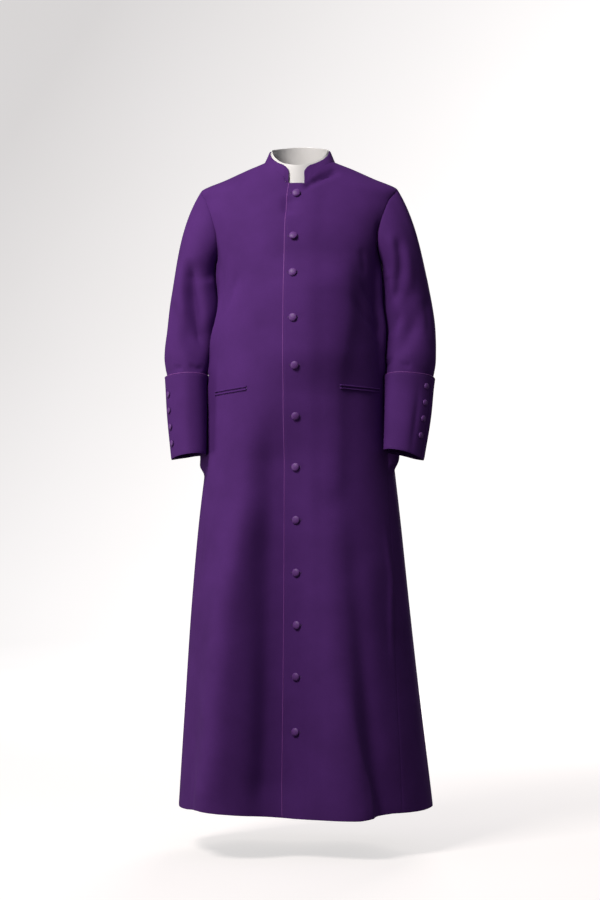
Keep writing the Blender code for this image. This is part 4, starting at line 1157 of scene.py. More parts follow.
class ArmPiece:
    """A piece round one arm; its grids are the left arm's until it is built."""

    side: Side
    outer: Array
    inner: Array
    KIND = ""
    CLOSED = False

    @property
    def name(self) -> str:
        """Node name of the piece."""
        return f"{self.KIND}_{self.side.word}"

    def build(self, finish: Material) -> Object:
        """Makes the piece."""
        outer, inner = self.side.mirror(self.outer), self.side.mirror(self.inner)
        mesh = wall_mesh(self.name, outer, inner, closed=self.CLOSED)
        return place("cloth_" + self.name, mesh, finish, Slot.CLOTH, self.name)


@dataclass
class Sleeve(ArmPiece):
    """Set-in, two-piece sleeve from the armhole to inside the cuff."""

    KIND = "sleeve"
    CLOSED = True

    side: Side
    form: BodyForm
    columns: int = 104
    cap_rows: int = 44
    beside_armhole: Floats = (0.0, 0.008, 0.018)
    arm_rows: int = 96
    cap_top_leave: Pair = (0.52, -0.85)
    cap_low_leave: Pair = (0.60, -0.80)
    cap_spread: float = 0.30
    cap_pull: Pair = (1.0, 1.1)
    end_inside: float = 0.006
    seam_turns: Pair = (-14.0, 152.0)  # hind-arm seam and fore-arm seam
    seam_depth: float = 0.0008
    seam_width: float = 0.0016
    seam_columns: Floats = (-2.6, -1.2, 0.0, 1.2, 2.6)
    seam_clear: float = 1.6  # degrees between these columns and the even ones
    roll: float = 0.0005
    roll_width: float = 0.0020

    def __post_init__(self) -> None:
        """Works out the grid, and the folds that lie on it."""
        self.arm = ArmForm(self.side)
        even = np.linspace(0.0, 360.0, self.columns, endpoint=False)
        beside = [s % 360.0 + d for s in self.seam_turns for d in self.seam_columns]
        kept = [t for t in even if min(abs(t - b) for b in beside) > self.seam_clear]
        self.turns = np.radians(np.array(sorted(kept + [b % 360.0 for b in beside])))
        armhole = Armhole(self.side)
        angle, z = armhole.at(self.turns)
        sign = self.side.value
        self.armhole = self.side.mirror(self.form.point(sign * angle, z))
        self.heights, grid = self.loft()
        normals = grid_normals(grid, closed=True)
        lift = self.crease_lift(grid, normals) - self.seam_grooves(grid) - self.rolled_top(grid)
        self.outer = grid + normals * lift[..., None]
        self.inner = self.outer - normals * SHELL
        self.outer[0] = grid[0] - normals[0] * self.roll
        self.inner[0] = self.outer[0] - normals[0] * SHELL

    def loft(self) -> Arrays:
        """Each ring's height, and the rings over the cap and down the arm.

        Returns:
            The heights, and the rings of points.
        """
        top_z = ARM_SECTIONS[0].z
        first = self.arm.ring(top_z, self.turns)
        second = self.arm.ring(top_z - self.arm.PROBE, self.turns)
        height = (self.armhole[:, 2] - UNDERARM_Z) / (SHOULDER_Z - UNDERARM_Z)
        outward, downward = (
            low + (top - low) * height
            for top, low in zip(self.cap_top_leave, self.cap_low_leave)
        )
        leave = unit(np.stack([outward, -self.cap_spread * np.sin(self.turns), downward], axis=-1))
        span = np.linalg.norm(first - self.armhole, axis=-1, keepdims=True)
        leave_pull = span * self.cap_pull[0] * leave
        join_pull = span * self.cap_pull[1] * unit(second - first)
        rings, heights = [], []
        shares = stepped(self.cap_rows, self.beside_armhole)
        for s in shares[:-1]:
            rings.append(hermite(s, self.armhole, leave_pull, first, join_pull))
            heights.append(SHOULDER_Z + s * (top_z - SHOULDER_Z))
        for z in np.linspace(top_z, CUFF_BOTTOM + self.end_inside, self.arm_rows + 1):
            rings.append(self.arm.ring(z, self.turns) + self.arm.rise(self.turns, z))
            heights.append(z)
        return np.array(heights), np.array(rings)

    def crease_lift(self, grid: Array, normals: Array) -> Array:
        """Heights of the listed creases; a mark's z is read as the row of that height.

        Args:
            grid: The sleeve's rings of points.
            normals: Their outward directions.

        Returns:
            Heights, one for each point.
        """
        lift = np.zeros(grid.shape[:2])
        rows, cols = np.arange(len(self.heights)), np.arange(len(self.turns))
        for crease in ARM_CREASES[self.side]:
            marks = np.array(smooth_line(crease.path, MARK_STEPS * len(crease.path)))
            row = np.interp(-marks[:, 1], -self.heights, rows)
            col = np.interp(marks[:, 0] % 360.0, np.degrees(self.turns), cols)
            above, before = np.floor(row).astype(int), np.floor(col).astype(int)
            below = np.minimum(above + 1, rows[-1])
            after = (before + 1) % len(cols)
            u, v = (row - above)[:, None], (col - before)[:, None]
            upper = grid[above, before] * (1.0 - v) + grid[above, after] * v
            lower = grid[below, before] * (1.0 - v) + grid[below, after] * v
            lift += crease_height(crease, upper * (1.0 - u) + lower * u, grid, normals)
        return lift

    def seam_grooves(self, grid: Array) -> Array:
        """Depth of the two long seams of the sleeve.

        Args:
            grid: The sleeve's rings of points.

        Returns:
            Depths, one for each point.
        """
        along = run_length(grid, 1)
        depth = np.zeros(grid.shape[:2])
        for degrees in self.seam_turns:
            col = int(np.argmin(np.abs(np.degrees(self.turns) - degrees % 360.0)))
            away = (along - along[:, col:col + 1]) / self.seam_width
            depth += self.seam_depth * np.exp(-(away**2))
        return depth

    def rolled_top(self, grid: Array) -> Array:
        """How far the surface rolls in beside the armhole."""
        return self.roll * np.exp(-((run_length(grid, 0) / self.roll_width) ** 2))


@dataclass
class Cuff(ArmPiece):
    """Deep turned-back cuff, open at its vent, with a cord along its top."""

    KIND = "cuff"

    side: Side
    columns: int = 120
    rows: int = 54
    beside_vent: Floats = (0.0, 0.0025, 0.006)
    beside_top: Floats = (0.0, 0.005, 0.012)
    gap: float = 0.0016
    flare: float = 0.0022
    vent_turn: float = 12.0
    vent_gap: float = 0.0012
    roll: float = 0.0006
    roll_width: float = 0.0020

    def __post_init__(self) -> None:
        """Works out the grid of the cuff."""
        self.arm = ArmForm(self.side)
        vent = np.radians(self.vent_turn)
        slit = 0.5 * self.vent_gap / ARM_SECTIONS[-1].long_half
        share = stepped(self.columns, self.beside_vent)
        self.turns = vent + slit + share * 2 * (np.pi - slit)
        down = stepped(self.rows, self.beside_top)
        self.heights = CUFF_TOP + down * (CUFF_BOTTOM - CUFF_TOP)
        grid = self.rings(CAD_CLOTH)
        normals = grid_normals(grid)
        lift = self.soft_folds() - rolled(grid, self.roll, self.roll_width)
        self.outer = grid + normals * lift[..., None]
        self.inner = grid + normals * (self.soft_folds() - SHELL)[..., None]

    def rings(self, clearance: float) -> Array:
        """Rings of points round the sleeve, from the vent to the vent.

        Args:
            clearance: Room under the cuff for the sleeve's own wall.

        Returns:
            Rings of points, from the top down.
        """
        rings = []
        for z in self.heights:
            ring = self.arm.ring(z, self.turns)
            middle = 0.5 * (ring.max(axis=0) + ring.min(axis=0))
            share = (z - CUFF_BOTTOM) / (CUFF_TOP - CUFF_BOTTOM)
            stand_off = self.gap + clearance + self.flare * share**2
            rings.append(ring + unit(ring - middle) * stand_off + self.arm.rise(self.turns, z))
            rings[-1][:, 2] -= self.dip(share)
        return np.array(rings)

    def dip(self, share: float) -> Array:
        """How far the upper part of the cuff hangs down in front."""
        depth, middle = CUFF_DIP[self.side]
        round_arm = 0.5 * (1.0 + np.cos(self.turns - np.radians(middle)))
        return depth * share**2 * round_arm**1.5

    def soft_folds(self) -> Array:
        """Height of the cuff's few soft folds.

        Returns:
            Heights, (rows, columns).
        """
        turn, z = np.meshgrid(np.degrees(self.turns), self.heights)
        lift = np.zeros(turn.shape)
        for degrees, lean, height, width, low, high in CUFF_FOLDS[self.side]:
            middle = degrees + lean * (z - CUFF_TOP) / (CUFF_BOTTOM - CUFF_TOP)
            away = ((turn - middle + 180.0) % 360.0 - 180.0) / width
            span = ramp(z, low, 0.5 * (low + high)) * ramp(z, high, 0.5 * (low + high))
            lift += height * span * np.exp(-(away**2))
        return lift

    def seat(self, turn: float, z: float) -> Arrays:
        """Point and outward direction on the cuff at this turn, in degrees, and height."""
        row = float(np.interp(-z, -self.heights, np.arange(len(self.heights))))
        col = float(np.interp(np.radians(turn), self.turns, np.arange(len(self.turns))))
        point, normal = seat_on_grid(self.outer, row, col)
        return self.side.mirror(point), self.side.mirror(normal)


# --- collar and white band ---

@dataclass
class StandCollar:
    """Stand collar with a notch and rounded ends in front, and the white band inside it."""

    form: BodyForm
    columns: int = 220
    rows: int = 22
    beside_notch: Floats = (0.0, 0.002, 0.005, 0.010)
    beside_top: Floats = (0.0, 0.018, 0.045)
    beside_band_top: Floats = (0.0, 0.008, 0.020)
    lean: float = 0.011
    lean_front: float = 0.55
    top_front: float = -0.012
    top_side: float = 0.027
    top_back: float = 0.043
    crown: float = 0.006
    sunk: float = 0.0012  # the foot is sewn in under the edge of the neck
    right_notch: float = 0.0205  # the notch reaches further to the wearer's right
    corner: float = 0.020
    corner_drop: float = 0.8
    roll: float = 0.0006
    roll_width: float = 0.0016
    cad_wall: float = 0.0024
    band_rise: float = 0.0036
    band_drop: float = 0.006
    band_taper: float = 0.0030
    band_roll: float = 0.0003
    band_roll_width: float = 0.0006

    def turn_of(self, bearing: Array) -> Array:
        """Bearing from the centre front, the same on both sides of the neck."""
        return np.minimum(bearing, 2 * np.pi - bearing)

    def top_z(self, turn: Array) -> Array:
        """Height of the top edge."""
        share = 0.5 * (1.0 - np.cos(turn))
        heights = (self.top_front, self.top_side, self.top_back)
        crown = self.crown * np.sin(turn) ** 2 * (1 - share)
        return np.interp(share, (0.0, 0.5, 1.0), heights) + crown

    def foot_z(self, turn: Array) -> Array:
        """Height of the neck seam, level across the notch."""
        return np.maximum(self.form.neck_seam(turn)[1], NECK_FRONT_Z)

    def point(self, bearing: Array, z: Array, inset: Array) -> Array:
        """Points at height z on the collar's leaning surface, set in towards the neck.

        Args:
            bearing: Directions from the neck's middle.
            z: Heights.
            inset: How far they are set in.

        Returns:
            Points, with x, y and z along the last axis.
        """
        turn = self.turn_of(bearing)
        foot = self.foot_z(turn)
        share = (z - foot) / (self.top_z(turn) - foot)
        lean = self.lean * (self.lean_front + (1.0 - self.lean_front) * np.sin(turn) ** 2)
        reach = self.form.neck_reach(turn) - lean * share - inset
        return np.stack([reach * np.sin(bearing), -reach * np.cos(bearing), z + 0 * reach], axis=-1)

    def collar_grids(self) -> Arrays:
        """Outer and inner grids, from one side of the notch round the back to the other.

        Returns:
            Outer and inner points, from the top edge down.
        """
        start = self.form.notch_bearing()
        end = float(np.arctan2(self.right_notch, BodyForm.NECK["front"]))
        share = stepped(self.columns, self.beside_notch)
        bearing = start + share * (2 * np.pi - start - end)
        turn = self.turn_of(bearing)
        foot = self.foot_z(turn)
        from_end = turn - np.where(bearing < np.pi, start, end)
        arc = np.clip(self.corner - from_end * BodyForm.NECK["front"], 0.0, self.corner)
        drop = self.corner - np.sqrt(self.corner**2 - arc**2)
        top = self.top_z(turn) - self.corner_drop * drop
        up = stepped(self.rows, self.beside_top)[::-1, None]
        z = foot - self.sunk + up * (top - foot + self.sunk)
        flat = self.point(bearing, z, np.zeros_like(z))
        roll = rolled(flat, self.roll, self.roll_width)
        return self.point(bearing, z, roll), self.point(bearing, z, COLLAR_SHELL - roll)

    def band_grids(self) -> Arrays:
        """Outer and inner grids of the white band, a closed ring.

        Returns:
            Outer and inner points, from the top edge down.
        """
        bearing = 2 * np.pi * np.arange(self.columns) / self.columns
        turn = self.turn_of(bearing)
        low = self.foot_z(turn) - self.band_drop
        top = self.top_z(turn) + self.band_rise
        up = stepped(self.rows, self.beside_band_top)[::-1, None]
        z = low + up * (top - low)
        inset = self.cad_wall + LAP_GAP + self.band_taper * (1.0 - up) + np.zeros_like(z)
        down = (1.0 - up) * (top - low)
        edge = self.band_roll * np.exp(-((down / self.band_roll_width) ** 2))
        insets = (inset + edge, inset + BAND_SHELL - edge)
        return self.point(bearing, z, insets[0]), self.point(bearing, z, insets[1])

    def build(self, cloth: Material, band: Material) -> None:
        """Makes the collar's piece and the band's piece."""
        self.outer, inner = self.collar_grids()
        place("cloth_collar", wall_mesh("collar", self.outer, inner), cloth, Slot.CLOTH, "collar")
        ring = wall_mesh("band", *self.band_grids(), closed=True)
        place("white_band", ring, band, Slot.BAND, "collar_insert")


# --- trim ---

@dataclass
class Cords:
    """Thin satin-covered cord along the front edge and along the top of each cuff."""

    radius: float = 0.0011
    sides: int = 10
    proud: float = 0.0002

    def front(self, panel: Panel, finish: Material) -> None:
        """Lays the cord beside the left front's free edge."""
        edge = 0.5 * (panel.outer[:, 0] + panel.inner[:, 0])
        away = unit(edge - panel.outer[:, 2])
        path = edge + away * self.radius + panel.normal[:, 0] * self.proud
        mesh = tube_mesh("front_cord", path, self.radius, self.sides)
        place("cord_front", mesh, finish, Slot.PIPING, "front_piping")

    def cuff(self, cuff: Cuff, finish: Material) -> None:
        """Lays the cord on the cuff's top edge."""
        edge = 0.5 * (cuff.outer[0] + cuff.inner[0])
        up = unit(cuff.outer[0] - cuff.outer[3])
        path = cuff.side.mirror(edge + up * self.radius)
        mesh = tube_mesh(cuff.name + "_cord", path, self.radius, self.sides)
        place("cord_" + cuff.name, mesh, finish, Slot.PIPING, "cuff_piping_" + cuff.side.word)


@dataclass
class JettedPocket:
    """Slanted pocket with two narrow lips, closed, and a bar of thread at each end."""

    side: Side
    inner_x: float
    inner_z: float
    outer_x: float
    outer_z: float
    lip: float = 0.0037
    slot: float = 0.0028
    proud: float = 0.0024
    steps: int = 60
    beside_end: Floats = (0.0, 0.006, 0.015)
    rows: int = 10
    end_round: float = 0.004
    end_crown: float = 0.2  # share of the roundness that is left at the very ends
    feet: Pair = (0.0003, 0.0001)  # of the outer and inner face off the front

    def strip(self, panel: Panel, offset: float) -> Arrays:
        """Outer and inner grids of one lip, laid on the front and rounded like a folded edge.

        Args:
            panel: The front that it lies on.
            offset: Height of the lip's middle above the pocket's.

        Returns:
            Outer and inner points.
        """
        share = stepped(self.steps, self.beside_end)
        across = np.linspace(-1.0, 1.0, self.rows + 1)[::-1]
        outer, inner = [], []
        for level in across:
            outer_row, inner_row = [], []
            for s in share:
                x = self.side.value * (self.inner_x + s * (self.outer_x - self.inner_x))
                z = self.inner_z + s * (self.outer_z - self.inner_z)
                point, normal = panel.seat(x, z + offset + 0.5 * self.lip * level)
                end = min(s, 1.0 - s) * abs(self.outer_x - self.inner_x) / self.end_round
                full = min(1.0, np.sqrt(min(end, 1.0)) + self.end_crown)
                crown = np.sqrt(max(1.0 - level**4, 0.0)) * full
                outer_row.append(point + normal * (self.feet[0] + self.proud * crown))
                inner_row.append(point + normal * self.feet[1])
            outer.append(outer_row)
            inner.append(inner_row)
        return np.array(outer), np.array(inner)

    def build(self, panel: Panel, finish: Material) -> None:
        """Makes the two lips."""
        rise = 0.5 * (self.lip + self.slot)
        for word, offset in (("upper", rise), ("lower", -rise)):
            name = f"pocket_{word}_jet_{self.side.word}"
            mesh = wall_mesh(name, *self.strip(panel, offset))
            place(name.replace("jet", "lip"), mesh, finish, Slot.CLOTH, name)


@dataclass
class CoveredButton:
    """Button covered with the garment's cloth: dome, rim, gathered back and shank."""

    radius: float
    clearance: float = 0.0004
    dome: float = 0.38
    rim: float = 0.14
    foot: float = 0.97
    shank: float = 0.34
    shank_height: float = 0.0009
    segments: int = 40
    gathers: int = 14
    gather_depth: float = 0.035
    gather_rings: tuple[int, int, int] = (7, 11, 3)  # none up to the first, all from the next
    dome_turns: tuple[float, float, int] = (84.0, 0.0, 11)
    girth: float = 1.008  # of the rim, the back's hollow and the shank's foot, in radii
    hollow: Pair = (0.80, 0.02)
    shank_foot: Pair = (0.9, 0.3)
    tilt_lift: float = 0.34

    def profile(self) -> list[Pair]:
        """Half section from the top of the dome to the foot of the shank, as radius and height.

        Returns:
            The points, from the top down.
        """
        r, base = self.radius, self.shank_height
        top = base + self.rim * r
        points = [
            (r * np.cos(a), top + self.dome * r * np.sin(a))
            for a in np.radians(np.linspace(*self.dome_turns))
        ]
        points += [(self.girth * r, top - 0.5 * self.rim * r), (self.foot * r, base)]
        points += [(self.hollow[0] * r, base - self.hollow[1] * r), (self.shank * r, base)]
        narrow, low = self.shank_foot
        return points + [(self.shank * r, low * base), (narrow * self.shank * r, 0.0)]

    def mesh(self, name: str, point: Array, normal: Array, spin: float,
             tilt: float = 0.0) -> Mesh:
        """Turned body of one button, standing on a point and facing along the normal.

        Args:
            name: The mesh's name.
            point: Where it is sewn on.
            normal: Outward direction of the cloth there.
            spin: Turn round its own axis.
            tilt: How far its face hangs up or down, in degrees.

        Returns:
            A closed mesh, clear of the cloth.
        """
        rings = self.profile()
        turn = 2 * np.pi * np.arange(self.segments) / self.segments
        top_z = self.shank_height + (self.rim + self.dome) * self.radius
        points = [(0.0, 0.0, top_z)]
        none, every, smooth = self.gather_rings
        for index, (radius, height) in enumerate(rings):
            low = np.clip((index - none) / (every - none), 0.0, 1.0) * (index < len(rings) - smooth)
            wave = 1.0 - self.gather_depth * low * (0.5 + 0.5 * np.cos(self.gathers * turn))
            points += [
                (radius * w * np.cos(t), radius * w * np.sin(t), height)
                for t, w in zip(turn, wave)
            ]
        points.append((0.0, 0.0, 0.0))
        count, last = self.segments, len(points) - 1
        faces: list[tuple[int, ...]] = []
        for c in range(count):
            d = (c + 1) % count
            faces.append((0, 1 + c, 1 + d))
            for ring in range(len(rings) - 1):
                a = 1 + ring * count
                faces.append((a + c, a + count + c, a + count + d, a + d))
            foot = 1 + (len(rings) - 1) * count
            faces.append((last, foot + d, foot + c))
        mesh = mesh_of(name, points, faces)
        facing = Vector(normal.tolist())
        lift = self.clearance + self.tilt_lift * self.radius * abs(np.sin(np.radians(tilt)))
        stand = Matrix.Translation(Vector(point.tolist()) + facing * float(lift))
        turned = facing.to_track_quat("Z", "Y").to_matrix().to_4x4()
        hung = Matrix.Rotation(np.radians(tilt), 4, "X")
        mesh.transform(stand @ hung @ turned @ Matrix.Rotation(spin, 4, "Z"))
        outward(mesh)
        mesh.shade_smooth()
        return mesh


# --- stitches ---

def add(tree: NodeTree, kind: str, inputs: dict[Any, Any] | None = None,
        **settings: Any) -> Node:
    """Adds a node to a tree.

    Args:
        tree: The tree.
        kind: The node's type.
        inputs: Values or linked sockets, by the name or index of the node's input.
        **settings: The node's own properties.

    Returns:
        The new node.
    """
    node = tree.nodes.new(kind)
    for name, value in settings.items():
        setattr(node, name, value)
    for key, value in (inputs or {}).items():
        if isinstance(value, bpy.types.NodeSocket):
            tree.links.new(value, node.inputs[key])
        else:
            node.inputs[key].default_value = value
    return node


@dataclass(frozen=True)
class StitchLine:
    """Where a row of stitches runs, and the direction in which each of them lies."""

    points: Array
    lay: Array


@dataclass
class ThreadStitches:
    """Short lengths of thread set along lines on the cloth."""

    name: str
    spacing: float
    length: float
    thread: float
    sides: int = 6

    def tree(self, finish: Material) -> NodeTree:
        """Geometry Nodes tree that sets a bar of thread at every step of each line.

        Args:
            finish: The thread's material.

        Returns:
            The tree, with inputs for the spacing, the length and the thickness.
        """
        tree = bpy.data.node_groups.new(self.name + "_stitches", "GeometryNodeTree")
        face = tree.interface
        face.new_socket("Geometry", in_out="INPUT", socket_type="NodeSocketGeometry")
        for word in ("Spacing", "Length", "Thread"):
            face.new_socket(word, in_out="INPUT", socket_type="NodeSocketFloat")
        face.new_socket("Geometry", in_out="OUTPUT", socket_type="NodeSocketGeometry")
        given = add(tree, "NodeGroupInput").outputs
        line = add(tree, "GeometryNodeMeshToCurve", {"Mesh": given["Geometry"]})
        steps = add(tree, "GeometryNodeResampleCurve",
                    {"Curve": line.outputs["Curve"], "Length": given["Spacing"]}, mode="LENGTH")
        lay = add(tree, "GeometryNodeInputNamedAttribute", {"Name": "lay"},
                  data_type="FLOAT_VECTOR")
        turned = add(tree, "FunctionNodeAlignRotationToVector",
                     {"Vector": lay.outputs["Attribute"]}, axis="Z")
        bar = add(tree, "GeometryNodeMeshUVSphere",
                  {"Segments": self.sides, "Rings": 5, "Radius": 0.5})
        size = add(tree, "ShaderNodeCombineXYZ",
                   {"X": given["Thread"], "Y": given["Thread"], "Z": given["Length"]})
        set_out = add(tree, "GeometryNodeInstanceOnPoints", {
            "Points": steps.outputs["Curve"],
            "Instance": bar.outputs["Mesh"],
            "Rotation": turned.outputs["Rotation"],
            "Scale": size.outputs["Vector"],
        })
        real = add(tree, "GeometryNodeRealizeInstances", {"Geometry": set_out.outputs["Instances"]})
        dressed = add(tree, "GeometryNodeSetMaterial",
                      {"Geometry": real.outputs["Geometry"], "Material": finish})
        add(tree, "NodeGroupOutput", {"Geometry": dressed.outputs["Geometry"]})
        return tree

    def build(self, lines: Sequence[StitchLine], finish: Material) -> Object:
        """Sets the stitches along the lines and bakes them into one piece.

        Args:
            lines: The rows of stitches.
            finish: The thread's material.

        Returns:
            The finished piece.
        """
        points = np.concatenate([line.points for line in lines])
        starts = np.cumsum([0] + [len(line.points) for line in lines])
        edges = [(i, i + 1) for a, b in zip(starts[:-1], starts[1:]) for i in range(a, b - 1)]
        guide = mesh_of(self.name + "_guide", points, [], edges)
        lay = guide.attributes.new("lay", "FLOAT_VECTOR", "POINT")
        lay.data.foreach_set("vector", np.concatenate([line.lay for line in lines]).ravel())
        holder = in_scene(self.name + "_guide", guide)
        modifier = holder.modifiers.new("stitches", "NODES")
        tree = self.tree(finish)
        modifier.node_group = tree
        sizes = {"Spacing": self.spacing, "Length": self.length, "Thread": self.thread}
        for item in tree.interface.items_tree:
            if item.in_out == "INPUT" and item.name in sizes:
                modifier[item.identifier] = sizes[item.name]
        graph = bpy.context.evaluated_depsgraph_get()
        mesh = bpy.data.meshes.new_from_object(holder.evaluated_get(graph))
        holder.modifiers.remove(modifier)
        bpy.data.objects.remove(holder)
        mesh.shade_smooth()
        LOG.info("%s: %d lines of thread", self.name, len(lines))
        return place(self.name, mesh, finish, Slot.CLOTH)


def inset_line(grid: Array, distance: float) -> Array:
    """Points on each row of a grid at this distance from its first column."""
    along = run_length(grid, 1)
    return np.array([
        [np.interp(distance, steps, row[:, axis]) for axis in range(3)]
        for steps, row in zip(along, grid)
    ])


def running_line(points: Array) -> StitchLine:
    """Row of stitches that lie along their own line."""
    return StitchLine(points, unit(np.gradient(points, axis=0)))


def short_line(panel: Panel, spots: Sequence[Pair],
               lay: Triple) -> StitchLine:
    """Row of stitches through these x and heights on a front, which all lie one way."""
    points = np.array([panel.seat(x, z)[0] for x, z in spots])
    return StitchLine(points, np.tile(lay, (len(points), 1)))


@dataclass
class Sewing:
    """All the stitching that shows: edges, buttonholes and pocket ends."""

    edge_inset: float = 0.0050  # edge stitching this far from a folded edge
    edge_pitch: float = 0.0042
    edge_stitch: float = 0.0022
    edge_thread: float = 0.00040
    hole_reach: Pair = (-0.0130, 0.0115)  # a buttonhole, from its button
    hole_half: float = 0.0010
    hole_pitch: float = 0.0006
    hole_stitch: float = 0.0020
    hole_thread: float = 0.00050
    bar_half: float = 0.0048
    seats: int = 5

    def hole_lines(self, panel: Panel, x: float, z: float) -> list[StitchLine]:
        """The two sides of one buttonhole.

        Args:
            panel: The front that it is worked in.
            x: Place of its button across the front.
            z: Height of its button.

        Returns:
            Two rows of stitches.
        """
        reaches = np.linspace(*self.hole_reach, self.seats)
        return [
            short_line(panel, [(x + reach, z + side * self.hole_half) for reach in reaches],
                       (0.0, 0.0, 1.0))
            for side in (-1, +1)
        ]

    def bar_lines(self, pocket: JettedPocket, panel: Panel) -> list[StitchLine]:
        """The bars of thread at both ends of a pocket.

        Args:
            pocket: The pocket.
            panel: The front that it is in.

        Returns:
            Two rows of stitches.
        """
        rises = np.linspace(-self.bar_half, self.bar_half, self.seats)
        ends = ((pocket.inner_x, pocket.inner_z), (pocket.outer_x, pocket.outer_z))
        return [
            short_line(panel, [(pocket.side.value * x, z + rise) for rise in rises],
                       (1.0, 0.0, 0.0))
            for x, z in ends
        ]

    def build(self, front: Panel, cuffs: Iterable[Cuff], collar: Array, holes: list[StitchLine],
              bars: list[StitchLine], thread: Material) -> None:
        """Makes one piece of thread for each kind of stitching.

        Args:
            front: The overlapping front.
            cuffs: Both cuffs.
            collar: The collar's outer grid.
            holes: The sides of the buttonholes.
            bars: The bars at the pockets' ends.
            thread: The thread's material.
        """
        rounds = []
        for cuff in cuffs:
            for grid in (cuff.outer, cuff.outer[::-1]):
                line = inset_line(np.swapaxes(grid, 0, 1), self.edge_inset)[4:-4]
                rounds.append(running_line(cuff.side.mirror(line)))
        edge = running_line(inset_line(front.outer, self.edge_inset)[3:-3])
        top = running_line(inset_line(np.swapaxes(collar, 0, 1), self.edge_inset)[6:-6])
        along = (self.edge_pitch, self.edge_stitch, self.edge_thread)
        worked = (self.hole_pitch, self.hole_stitch, self.hole_thread)
        for word, sizes, lines in (
            ("front_edge", along, [edge]), ("cuffs", along, rounds), ("collar", along, [top]),
            ("buttonholes", worked, holes), ("pocket_bars", worked, bars),
        ):
            ThreadStitches("stitches_" + word, *sizes).build(lines, thread)


# --- finishes ---

def linear(hex_colour: str) -> tuple[float, float, float, float]:
    """Linear colour of an sRGB hex value."""
    parts = [int(hex_colour[i:i + 2], 16) / 255.0 for i in (1, 3, 5)]
    red, green, blue = (
        p / 12.92 if p <= 0.04045 else ((p + 0.055) / 1.055) ** 2.4 for p in parts
    )
    return red, green, blue, 1.0


def new_material(name: str) -> tuple[Material, NodeTree, Node]:
    """Makes a material with nodes; returns it with its tree and its Principled shader."""
    material = bpy.data.materials.new(name.replace(" ", "_"))
    material.use_nodes = True
    shader = material.node_tree.nodes["Principled BSDF"]
    return material, material.node_tree, shader


def dress(tree: NodeTree, shader: Node, share: bpy.types.NodeSocket, tones: tuple[str, str],
          height: bpy.types.NodeSocket, relief: Pair,
          constants: dict[str, Any]) -> None:
    """Gives a shader its colour, its relief and its constants.

    Args:
        tree: The material's tree.
        shader: Its Principled shader.
        share: Where the second tone takes over from the first.
        tones: The two sRGB colours.
        height: The relief.
        relief: The relief's strength and its depth in metres; a strength of 0 leaves it out.
        constants: Values of the shader's own sockets.
    """
    colour = add(tree, "ShaderNodeMix", {
        "Factor": share, 6: linear(tones[0]), 7: linear(tones[1]),
    }, data_type="RGBA")
    tree.links.new(colour.outputs[2], shader.inputs["Base Color"])
    if relief[0]:
        bump = add(tree, "ShaderNodeBump", {
            "Strength": relief[0], "Distance": relief[1], "Height": height,
        })
        tree.links.new(bump.outputs["Normal"], shader.inputs["Normal"])
    for name, value in constants.items():
        shader.inputs[name].default_value = value


@dataclass(frozen=True)
class WoolGabardine:
    """Fine worsted wool gabardine: a steep, hard twill with a soft bloom."""

    name: str = "wool gabardine"
    colour: str = "#522870"
    light: str = "#5e3080"
    twill_pitch: float = 0.0008  # distance between two ribs of the twill
    twill_angle: float = 63.0  # steep twill, degrees from the weft
    twill_height: float = 0.00005
    fibre_size: float = 0.0015  # soft unevenness of the yarn
    cloud_size: float = 0.09  # slow changes in the dye and the nap
    roughness: float = 0.82
    specular: float = 0.16
    sheen: Pair = (0.10, 0.45)  # its weight and its roughness
    sheen_tint: str = "#a478c8"

    def build(self) -> Material:
        """Makes the material.

        Returns:
            The material.
        """
        material, tree, shader = new_material(self.name)
        spot = add(tree, "ShaderNodeUVMap", uv_map="cloth").outputs["UV"]
        place_in = add(tree, "ShaderNodeTexCoord").outputs["Object"]
        turned = add(tree, "ShaderNodeMapping", {
            "Vector": spot, "Rotation": (0.0, 0.0, np.radians(self.twill_angle)),
        })
        # A wave texture of scale 1 repeats every pi / 10.
        rib = add(tree, "ShaderNodeTexWave", {
            "Vector": turned.outputs["Vector"], "Scale": np.pi / 10 / self.twill_pitch,
            "Distortion": 0.6, "Detail": 1.0,
        })
        fibre = add(tree, "ShaderNodeTexNoise", {
            "Vector": spot, "Scale": 1.0 / self.fibre_size, "Detail": 3.0, "Roughness": 0.6,
        })
        cloud = add(tree, "ShaderNodeTexNoise", {
            "Vector": place_in, "Scale": 1.0 / self.cloud_size, "Detail": 4.0, "Roughness": 0.55,
        })
        height = add(tree, "ShaderNodeMath", {0: rib.outputs["Fac"], 1: 0.6}, operation="MULTIPLY")
        height = add(tree, "ShaderNodeMath", {
            0: fibre.outputs["Fac"], 1: 0.7, 2: height.outputs["Value"],
        }, operation="MULTIPLY_ADD")
        share = add(tree, "ShaderNodeMath", {
            0: cloud.outputs["Fac"], 1: fibre.outputs["Fac"],
        }, operation="MULTIPLY")
        tone = add(tree, "ShaderNodeMapRange", {
            "Value": share.outputs["Value"], "From Min": 0.12, "From Max": 0.42,
        })
        dress(tree, shader, tone.outputs["Result"], (self.colour, self.light),
              height.outputs["Value"], (0.5, self.twill_height), {
                  "Roughness": self.roughness, "Specular IOR Level": self.specular,
                  "Sheen Weight": self.sheen[0], "Sheen Roughness": self.sheen[1],
                  "Sheen Tint": linear(self.sheen_tint),
              })
        return material


